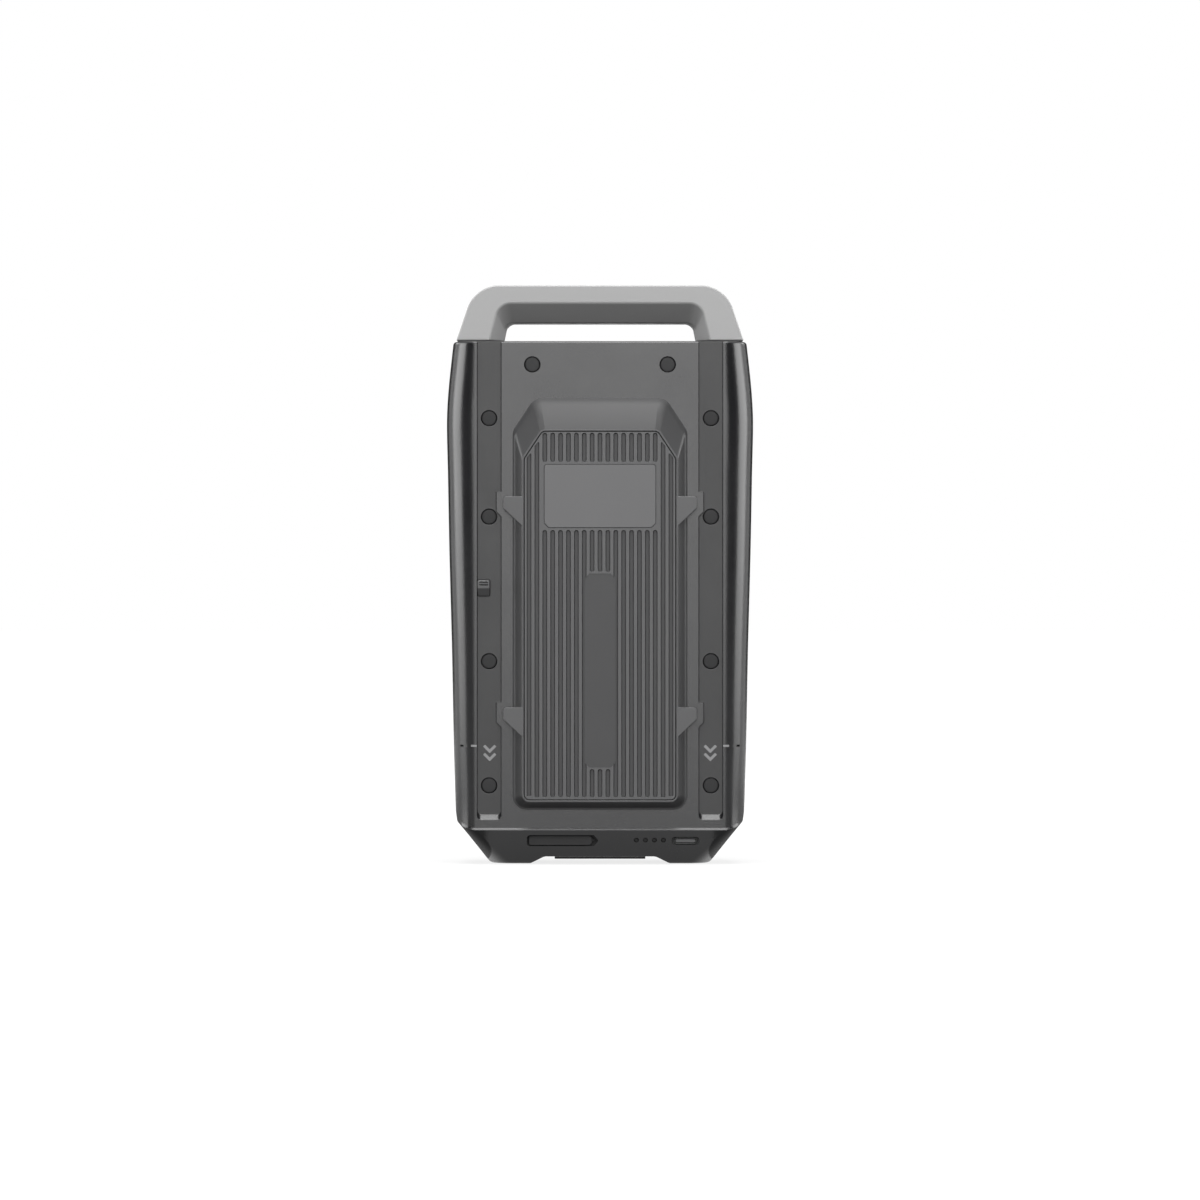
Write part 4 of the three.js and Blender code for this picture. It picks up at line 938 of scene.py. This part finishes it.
def coil_spring():
    """Spring behind the catch: 1 mm wire, wound four turns."""
    coil_radius, wire_radius, pitch = 2.6, 0.5, 4.165
    wire = {"vertices": 16, "radius": wire_radius * MM, "location": (0, 0, 0)}
    obj = fresh("coil", bpy.ops.mesh.primitive_circle_add, **wire)
    move(obj, everywhere, (coil_radius, 0, 0))
    step = obj.modifiers.new("winding", "SCREW")
    step.axis = "Y"
    step.iterations = 4
    step.screw_offset = pitch * MM
    step.steps = 24
    step.render_steps = 24
    only(obj)
    bpy.ops.object.modifier_apply(modifier=step.name)
    work(obj, "VERT", everywhere, bpy.ops.mesh.fill_holes, sides=0)
    work(obj, "FACE", everywhere, bpy.ops.mesh.normals_make_consistent, inside=False)
    move(obj, everywhere, SPRING_PLACE)
    smooth(obj, 60)
    return obj


def chevrons(side):
    """Two printed arrowheads that point the way in."""
    marks = []
    for tip in (67.6, 62.65):
        arm = plate("chevron", [
            (-0.02, tip, 0.1),
            (4.05, tip + 4.05, 0.1),
            (2.87, tip + 5.23, 0.1),
            (-0.02, tip + 2.36, 0.1),
        ], CHANNEL_Y - 0.1, CHANNEL_Y - 0.01, 1)
        join(arm, mirrored(arm))
        marks.append(arm)
    join(*marks)
    move(marks[0], everywhere, (side * 67.3, 0, 0))
    smooth(marks[0])
    return marks[0]


def lit_wall_dash(body, side):
    """Pale dash on the flat beside the depth groove, that follows the body's corner: a painted
    highlight of the groove's lit lower wall, in the ink's tone.
    """
    left, right = sorted((side * 75.2, side * 78.7))
    dash = box("dash", (left, -37, DASH_LOW), (right, -33, DASH_HIGH))
    combine(dash, body, "INTERSECT", keep=True)
    slice_off(dash, (0, -34.2, 0), (0, 1, 0))
    move(dash, everywhere, (0, -0.08, 0))
    smooth(dash)
    return dash


def dock_connector():
    """Connector block under the base, with seven blade slots that open downwards."""
    obj = box("connector_moulding", (-28, 14, 1.4), (28, 28, 16.4))
    round_edges(obj, runs_along_z, 1.2, 4)
    flange = box("flange", (-32, 10, 7.5), (32, 32, 9.5))
    round_edges(flange, runs_along_z, 2, 4)
    join(obj, flange)
    soften(obj, 0.3, 3)
    for i in range(-3, 4):
        cut(obj, box("blade_slot", (7 * i - 1.2, 16.5, 0), (7 * i + 1.2, 25.5, 11.4)))
    smooth(obj)
    return obj


# -------materials

def colour(code):
    """An sRGB hex value as a linear colour."""
    parts = [int(code[i:i + 2], 16) / 255 for i in (1, 3, 5)]
    return (*[p / 12.92 if p <= 0.04045 else ((p + 0.055) / 1.055) ** 2.4 for p in parts], 1)


def add(tree, kind, settings=None, links=None):
    """Adds a node, gives it its settings, and links other nodes' outputs to its sockets."""
    item = tree.nodes.new("ShaderNode" + kind)
    for key, value in (settings or {}).items():
        if isinstance(key, int) or key in item.inputs:
            item.inputs[key].default_value = value
        else:
            setattr(item, key, value)
    for key, source in (links or {}).items():
        tree.links.new(source, item.inputs[key])
    return item


def blank(name):
    made = bpy.data.materials.new(name)
    made.use_nodes = True
    made.node_tree.nodes.clear()
    return made, made.node_tree


def coat(tree, tones, pattern, rough, swing, bump, settings):
    """Ends a material: tone and gloss follow its pattern, and the bump follows its grain."""
    tone = {"data_type": "RGBA", 6: colour(tones[0]), 7: colour(tones[1])}
    tint = add(tree, "Mix", tone, {0: pattern})
    spread = {"From Min": 0.3, "From Max": 0.7, "To Min": rough - swing, "To Max": rough + swing}
    gloss = add(tree, "MapRange", spread, {"Value": pattern})
    grain, strength, depth_mm = bump
    height = {"Strength": strength, "Distance": depth_mm * MM}
    relief = add(tree, "Bump", height, {"Height": grain})
    feeds = {
        "Base Color": tint.outputs[2],
        "Roughness": gloss.outputs["Result"],
        "Normal": relief.outputs["Normal"],
    }
    skin = add(tree, "BsdfPrincipled", settings, feeds)
    add(tree, "OutputMaterial", None, {"Surface": skin.outputs["BSDF"]})


def moulded(name, dark, light, grain_mm, depth_mm, rough, ior=1.5):
    """Moulded plastic or rubber: its grain as bump, a faint uneven tone, and a gloss to match."""
    flow_mm, grain_share, flow_share = 30, 0.55, 0.45
    made, tree = blank(name)
    place = add(tree, "TexCoord")
    spot = {"Vector": place.outputs["Object"]}
    fine = {"Scale": 1 / (grain_mm * MM), "Detail": 2.5, "Roughness": 0.6}
    grain = add(tree, "TexNoise", fine, spot).outputs["Fac"]
    flow = add(tree, "TexNoise", {"Scale": 1 / (flow_mm * MM), "Detail": 3}, spot).outputs["Fac"]
    part = add(tree, "Math", {"operation": "MULTIPLY", 1: flow_share}, {0: flow}).outputs[0]
    blend = {"operation": "MULTIPLY_ADD", 1: grain_share}
    mottle = add(tree, "Math", blend, {0: grain, 2: part}).outputs[0]
    coat(tree, (dark, light), mottle, rough, 0.04, (grain, 0.6, depth_mm), {"IOR": ior})
    return made


def plated(name, dark, light, line_mm, rough, stretch_along=(1, 1, 1)):
    """Metal: fine drawn or rolled lines in tone and gloss."""
    made, tree = blank(name)
    place = add(tree, "TexCoord")
    turned = add(tree, "Mapping", {"Scale": stretch_along}, {"Vector": place.outputs["Object"]})
    fine = {"Scale": 1 / (line_mm * MM), "Detail": 4, "Roughness": 0.65}
    lines = add(tree, "TexNoise", fine, {"Vector": turned.outputs["Vector"]}).outputs["Fac"]
    coat(tree, (dark, light), lines, rough, 0.08, (lines, 0.3, 0.02), {"Metallic": 1})
    return made


# PC/ABS, moulded in a spark-eroded tool: a fine even grain that turns reflections into soft sheen.
# The real grain is about 0.1 mm, too fine to show, so it is drawn at 0.9 mm.
SHELL = moulded("pc_abs_spark_grain_charcoal", "#121213", "#1f1f21", 0.9, 0.08, 0.24)
# PC/ABS, the same moulding on the floors of the bay's rail channels, darker and a little rougher:
# painted shade in the recessed channels.
TRACK_SHADE = moulded("pc_abs_polished_track_charcoal", "#101011", "#171718", 0.9, 0.04, 0.39)
# PC/ABS, the same resin from a tool with a lighter etch: a little paler than the shell, and calmer.
# It is darker than the rib tone, as the shaded copy: painted shade on the block's slopes and sides.
# The recessed pad takes it too.
COVER_SHADED = moulded("pc_abs_fine_etch_charcoal", "#252526", "#303031", 0.8, 0.04, 0.43)
# PC/ABS, the same resin, paler: the lit copy, painted light on the faces that look ahead, the ribs'
# tops and the block's rim and ears, so they stand out from the block.
RIBS_LIT = moulded("pc_abs_fine_etch_ribs", "#3f3f40", "#4b4b4c", 0.8, 0.05, 0.38)
# PC/ABS, the rib plastic darker and duller between the ribs: painted shade in the grooves, so each
# groove reads.
GROOVE_SHADE = moulded("pc_abs_dull_groove", "#2a2a2b", "#343435", 0.8, 0.04, 0.5)
# ABS sheet, extruded with a satin face: smooth, paler, no grain that the eye can pick out.
LABEL_FACE = moulded("abs_satin_sheet_grey", "#565657", "#5c5c5d", 1.6, 0.006, 0.4)
# ABS, moulded and satin: light grey, soft highlights on its rounded edges.
GRIP = moulded("abs_satin_light_grey", "#9c9c9c", "#a3a3a3", 0.8, 0.02, 0.42)
# Silicone rubber, moulded: dull, drinks the light, with a soft edge sheen.
PLUG = moulded("silicone_moulded_black", "#1a1a1b", "#222223", 0.7, 0.02, 0.6, ior=1.43)
# Thermoplastic elastomer, moulded: nearly black with a waxy bloom. It also lies on the shell's
# pocket floors behind the flap and the button, as painted shade.
FLAP = moulded("elastomer_moulded_black", "#0f0f10", "#151516", 0.6, 0.02, 0.58, ior=1.47)
# Polycarbonate, moulded in a smoke tint with frosted ends: the lamps look dark when unlit.
LAMP = moulded("polycarbonate_frosted_smoke", "#0a0a0b", "#101012", 0.8, 0.005, 0.6, ior=1.58)
# ABS, moulded in a polished tool: black with sharp glints.
TRIM = moulded("abs_gloss_black", "#070708", "#0b0b0c", 1.2, 0.004, 0.22)
# ABS, moulded and satin: mid grey crown of the button.
KEY = moulded("abs_satin_mid_grey", "#5e5e5f", "#686869", 0.8, 0.01, 0.4)
# Acetal, moulded: slick, with a greasy sheen and faint flow marks.
CATCH = moulded("acetal_moulded_charcoal", "#333334", "#404041", 0.6, 0.03, 0.34, ior=1.48)
# Pad-printed ink: thin, flat and paler than the plastic under it. The depth dashes wear it too, as
# a painted highlight on the depth groove's lit wall.
INK = moulded("pad_printed_ink_grey", "#8c8c8d", "#949495", 0.5, 0.008, 0.45)
# Nylon with glass fibre, moulded: dull black with pale fibre specks at 0.6 mm.
NYLON = moulded("glass_nylon_moulded_black", "#121213", "#232324", 0.6, 0.02, 0.45)
# Steel screws, zinc plated: pale with a faint blue cast and turned lines.
SCREW = plated("steel_zinc_plated", "#a9acb1", "#c6c8cc", 0.8, 0.32)
# Stamped steel, nickel plated: bright, with drawn lines along Y.
SOCKET = plated("steel_nickel_stamped", "#aaabad", "#cfd0d2", 0.5, 0.25, (1, 0.1, 1))
# Spring steel, drawn wire: darker, with fine lines.
SPRING = plated("spring_steel_drawn", "#85868a", "#a5a6aa", 0.4, 0.3)
# Nickel-plated steel cans, drawn: soft lines in the sheen, along Y.
CAN = plated("steel_can_drawn", "#8f9499", "#b4b8bb", 0.9, 0.3, (1, 0.15, 1))
# Glass-epoxy laminate, pressed, under green solder mask: a mottle at 0.8 mm in a clear gloss.
BOARD = moulded("glass_epoxy_solder_mask", "#0c3a22", "#145032", 0.8, 0.008, 0.3, ior=1.55)


# -------the pack is put together

def fit(obj, name, body, finish, slot_name, *nodes):
    """Names a finished piece, gives it its material, and hands it to the frame."""
    obj.name = name
    obj.data.name = name
    obj.data.materials.clear()
    obj.data.materials.append(finish)
    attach(obj, body)
    if nodes:
        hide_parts(*nodes)


def second_finish(obj, finish, test):
    """Gives some faces of a piece another finish."""
    obj.data.materials.append(finish)
    obj.active_material_index = len(obj.data.materials) - 1
    work(obj, "FACE", test, bpy.ops.object.material_slot_assign)


def on_shaded_track(centre, normal):
    on_floor = normal.y < -0.99 and abs(centre.y - CHANNEL_Y) < 0.05
    return on_floor and abs(centre.x) > CHANNEL_IN


def in_shaded_pocket(centre, normal):
    return normal.y < -0.9 and centre.z < 20 and -29.2 < centre.y < -24


def in_shaded_groove(centre, normal):
    return normal.y < -0.05 and centre.y > FRONT_Y + 0.4


def on_pad(centre, normal):
    return normal.y < -0.9 and abs(centre.y - FRONT_Y - PAD_DEPTH) < 2 * HAIR


def on_lit_rim(centre, normal):
    return normal.y < -0.7 and centre.y < FRONT_Y + 0.3


inner_skin = body_form("inner_skin", SKIN_INSET, BODY_STEPS, SKIN_LEVELS, 10, 140)
body = whole_body()
room = room_inside()
dashes = [lit_wall_dash(body, side) for side in (-1, 1)]
front = front_shell(twin(body), room, inner_skin)
fit(front, "front_shell_moulding", "pack_body", SHELL, "shell_plastic", "front_shell")
# The channel floors take a darker copy of the shell plastic: painted shade in the recess.
second_finish(front, TRACK_SHADE, on_shaded_track)
# The floors of the flap's and the button's pockets take the flap's near-black rubber: painted shade
# in the pockets, so the gaps round the flap and the button read dark.
second_finish(front, FLAP, in_shaded_pocket)
rear = rear_shell(twin(body), room)
fit(rear, "rear_shell_moulding", "pack_body", SHELL, "shell_plastic", "rear_shell")
for spare in (body, room, inner_skin):
    bpy.data.objects.remove(spare)
cover = raised_cover()
fit(cover, "raised_cover_moulding", "pack_body", COVER_SHADED, "cover_plastic", "raised_cover")
# The block's front rim and ears take the paler rib tone: painted light where the faces look ahead.
# The rest of the block keeps the darker, shaded copy.
second_finish(cover, RIBS_LIT, on_lit_rim)
ribs = ribbed_insert()
fit(ribs, "ribbed_insert_moulding", "pack_body", RIBS_LIT, "cover_plastic", "ribbed_insert")
# Groove walls and floors take a darker copy of the rib plastic: painted shade between the ribs.
second_finish(ribs, GROOVE_SHADE, in_shaded_groove)
# The recessed pad takes the darker, shaded copy as well.
second_finish(ribs, COVER_SHADED, on_pad)
fit(label_plate(), "label_sheet", "pack_body", LABEL_FACE, "label_plastic", "label_plate")
fit(handle(), "handle_moulding", "pack_body", GRIP, "handle_plastic", "handle")

first_plug = screw_plug()
for side, numbers in ((-1, range(1, 6)), (1, range(6, 11))):
    for (x, z), number in zip(PLUGS, numbers):
        plug = twin(first_plug)
        move(plug, everywhere, (side * x, plug_face(x), z))
        name = "screw_plug_%d" % number
        fit(plug, name + "_moulding", "pack_body", PLUG, "plug_rubber", name)
bpy.data.objects.remove(first_plug)

fit(port_flap(), "port_flap_moulding", "flap", FLAP, "flap_rubber", "port_flap")
bezel = button_bezel(BEZEL_Y, -23.68)
fit(bezel, "button_bezel_moulding", "pack_body", TRIM, "trim_plastic", "button_bezel")
button = power_button(-29.26, -22.58)
fit(button, "power_button_moulding", "button", KEY, "button_plastic", "power_button")
guide = light_guide(-28.9, -21.2)
fit(guide, "light_guide_moulding", "pack_body", LAMP, "lamp_plastic", "light_pipe")
catch = spring_catch(-27.3)
fit(catch, "spring_catch_moulding", "catch", CATCH, "catch_plastic", "spring_catch")
spring = coil_spring()
fit(spring, "catch_spring_winding", "pack_body", SPRING, "spring_steel", "catch_spring")
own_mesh(spring)
dock = dock_connector()
fit(dock, "dock_connector_moulding", "pack_body", NYLON, "trim_plastic", "dock_connector")
# The dashes are painted highlights beside the depth grooves; the arrowheads are print.
for side, dash, word in ((-1, dashes[0], "left"), (1, dashes[1], "right")):
    fit(dash, "depth_dash_" + word, "pack_body", INK, "label_plastic")
    fit(chevrons(side), "arrowheads_" + word, "pack_body", INK, "label_plastic")

# The CAD pieces inside that stay as they are, by how their names begin.
INNER = {
    ("case_screw", "handle_screw"): SCREW,
    ("port_socket",): SOCKET,
    ("button_switch",): TRIM,
    ("front_board", "pack_board"): BOARD,
    ("catch_housing", "cell_holder"): NYLON,
    ("cell_row",): CAN,
}
for name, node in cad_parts.items():
    for starts, finish in INNER.items():
        if name.startswith(starts):
            node.data.materials.clear()
            node.data.materials.append(finish)


# -------studio, in metres

scene = bpy.context.scene
scene.view_settings.view_transform = "Standard"

view = {"location": (0, -4.1, 0.1611), "rotation": (math.pi / 2, 0, 0)}
camera = fresh("camera", bpy.ops.object.camera_add, **view)
camera.data.lens = 200
camera.data.sensor_width = 36
camera.data.clip_end = 100
scene.camera = camera


def softbox(name, place, aim, width, height, level):
    """A soft lamp that isn't seen itself. Its level is how bright its face is, where 1 is white."""
    lamp = fresh(name, bpy.ops.object.light_add, type="AREA", location=place)
    lamp.data.shape = "RECTANGLE"
    lamp.data.size = width
    lamp.data.size_y = height
    lamp.data.energy = level * width * height * 4
    lamp.rotation_euler = (Vector(aim) - Vector(place)).to_track_quat("-Z", "Y").to_euler()
    lamp.visible_camera = False


softbox("front_box", (0, -3.2, 1), (0, 0, 0.25), 1.6, 2, 2.8)
softbox("key_box", (0, -2.2, 2.7), (0, 0, 0.15), 2.2, 1.2, 4.4)
softbox("top_box", (0, -0.6, 3), (0, -0.6, 0), 1.8, 1.7, 6.8)
for side in (-1, 1):
    softbox("side_box", (side * 2.4, -0.07, 0.75), (0, 0, 0.2), 1.8, 1.4, 4.3)
    softbox("rear_box", (side * 1.9, 2.3, 1.4), (0, 0, 0.2), 1.2, 1.2, 4)

# Cards seen only in reflections. Black card: two in front that draw the dark line down each side,
# and two behind that keep the outline dark. Dim card: two on the ground that calm the low flares.
WHITE = colour("#ffffff")
CARD_DISTANCE = 2.6
card, felt = blank("flock_card_black")
nap = add(felt, "BsdfDiffuse", {"Color": colour("#050505")})
add(felt, "OutputMaterial", None, {"Surface": nap.outputs[0]})
dim_card, dim = blank("paper_card_dim")
haze = add(dim, "Emission", {"Color": WHITE, "Strength": 0.28})
add(dim, "OutputMaterial", None, {"Surface": haze.outputs[0]})


def flag(name, place, turn, width, height, finish):
    """A card in the studio that only gloss can see."""
    sheet = fresh(name, bpy.ops.mesh.primitive_plane_add, size=1, location=place, rotation=turn)
    sheet.scale = (width, height, 1)
    sheet.data.materials.append(finish)
    for ray in ("camera", "diffuse", "transmission", "volume_scatter", "shadow"):
        setattr(sheet, "visible_" + ray, False)


for side, word in ((-1, "left"), (1, "right")):
    for name, degrees, width in (("flag_front_", 44, 2.3), ("flag_rear_", 153, 1.4)):
        turn = side * math.radians(degrees)
        place = (CARD_DISTANCE * math.sin(turn), -CARD_DISTANCE * math.cos(turn), 1)
        flag(name + word, place, (math.pi / 2, 0, turn), width, 2.4, card)
    flag("flag_ground_" + word, (side * 0.385, 0.4, 0.001), (0, 0, 0), 0.63, 0.9, dim_card)


def what_looks(tree):
    """1 for rays that see the surroundings: from the camera, a gloss or a clear body."""
    path = add(tree, "LightPath")
    pair = {0: path.outputs["Is Camera Ray"], 1: path.outputs["Is Glossy Ray"]}
    seen = add(tree, "Math", {"operation": "MAXIMUM"}, pair)
    pair = {0: seen.outputs[0], 1: path.outputs["Is Transmission Ray"]}
    return add(tree, "Math", {"operation": "MAXIMUM"}, pair).outputs[0]


scene.world = bpy.data.worlds.new("studio_air")
scene.world.use_nodes = True
air = scene.world.node_tree
air.nodes.clear()
fill = add(air, "Background", {"Color": WHITE, "Strength": 0.22})
white = add(air, "Background", {"Color": WHITE, "Strength": 1})
both = add(air, "MixShader", None, {0: what_looks(air), 1: fill.outputs[0], 2: white.outputs[0]})
add(air, "OutputWorld", None, {"Surface": both.outputs[0]})

# Seamless paper, coated and matt: white to the eye, with the pack's soft shadow kept. Its glow is
# dimmed near the pack: painted shade round the pack's foot, seen by the camera and in gloss.
paper, ground = blank("paper_backdrop_matt")
dull = add(ground, "BsdfDiffuse", {"Color": colour("#404040")})
lit = add(ground, "BsdfDiffuse", {"Color": colour("#6c6c6c")})
spot = add(ground, "TexCoord")
far = add(ground, "VectorMath", {"operation": "LENGTH"}, {0: spot.outputs["Object"]})
# Painted shade: the glow is 0.8 within 0.25 m of the pack and rises to 1 at 1.4 m.
spread = {"From Min": 0.25, "From Max": 1.4, "To Min": 0.8, "To Max": 1}
near_pack_shade = add(ground, "MapRange", spread, {"Value": far.outputs["Value"]})
lift = add(ground, "Emission", {"Color": WHITE}, {"Strength": near_pack_shade.outputs["Result"]})
bright = add(ground, "AddShader", None, {0: lit.outputs[0], 1: lift.outputs[0]})
choice = {0: what_looks(ground), 1: dull.outputs[0], 2: bright.outputs[0]}
mixed = add(ground, "MixShader", None, choice)
add(ground, "OutputMaterial", None, {"Surface": mixed.outputs[0]})

floor = fresh("floor", bpy.ops.mesh.primitive_plane_add, size=60, location=(0, 0, -0.0003))
bpy.ops.object.transform_apply()
floor.data.materials.append(paper)

bpy.context.view_layer.update()
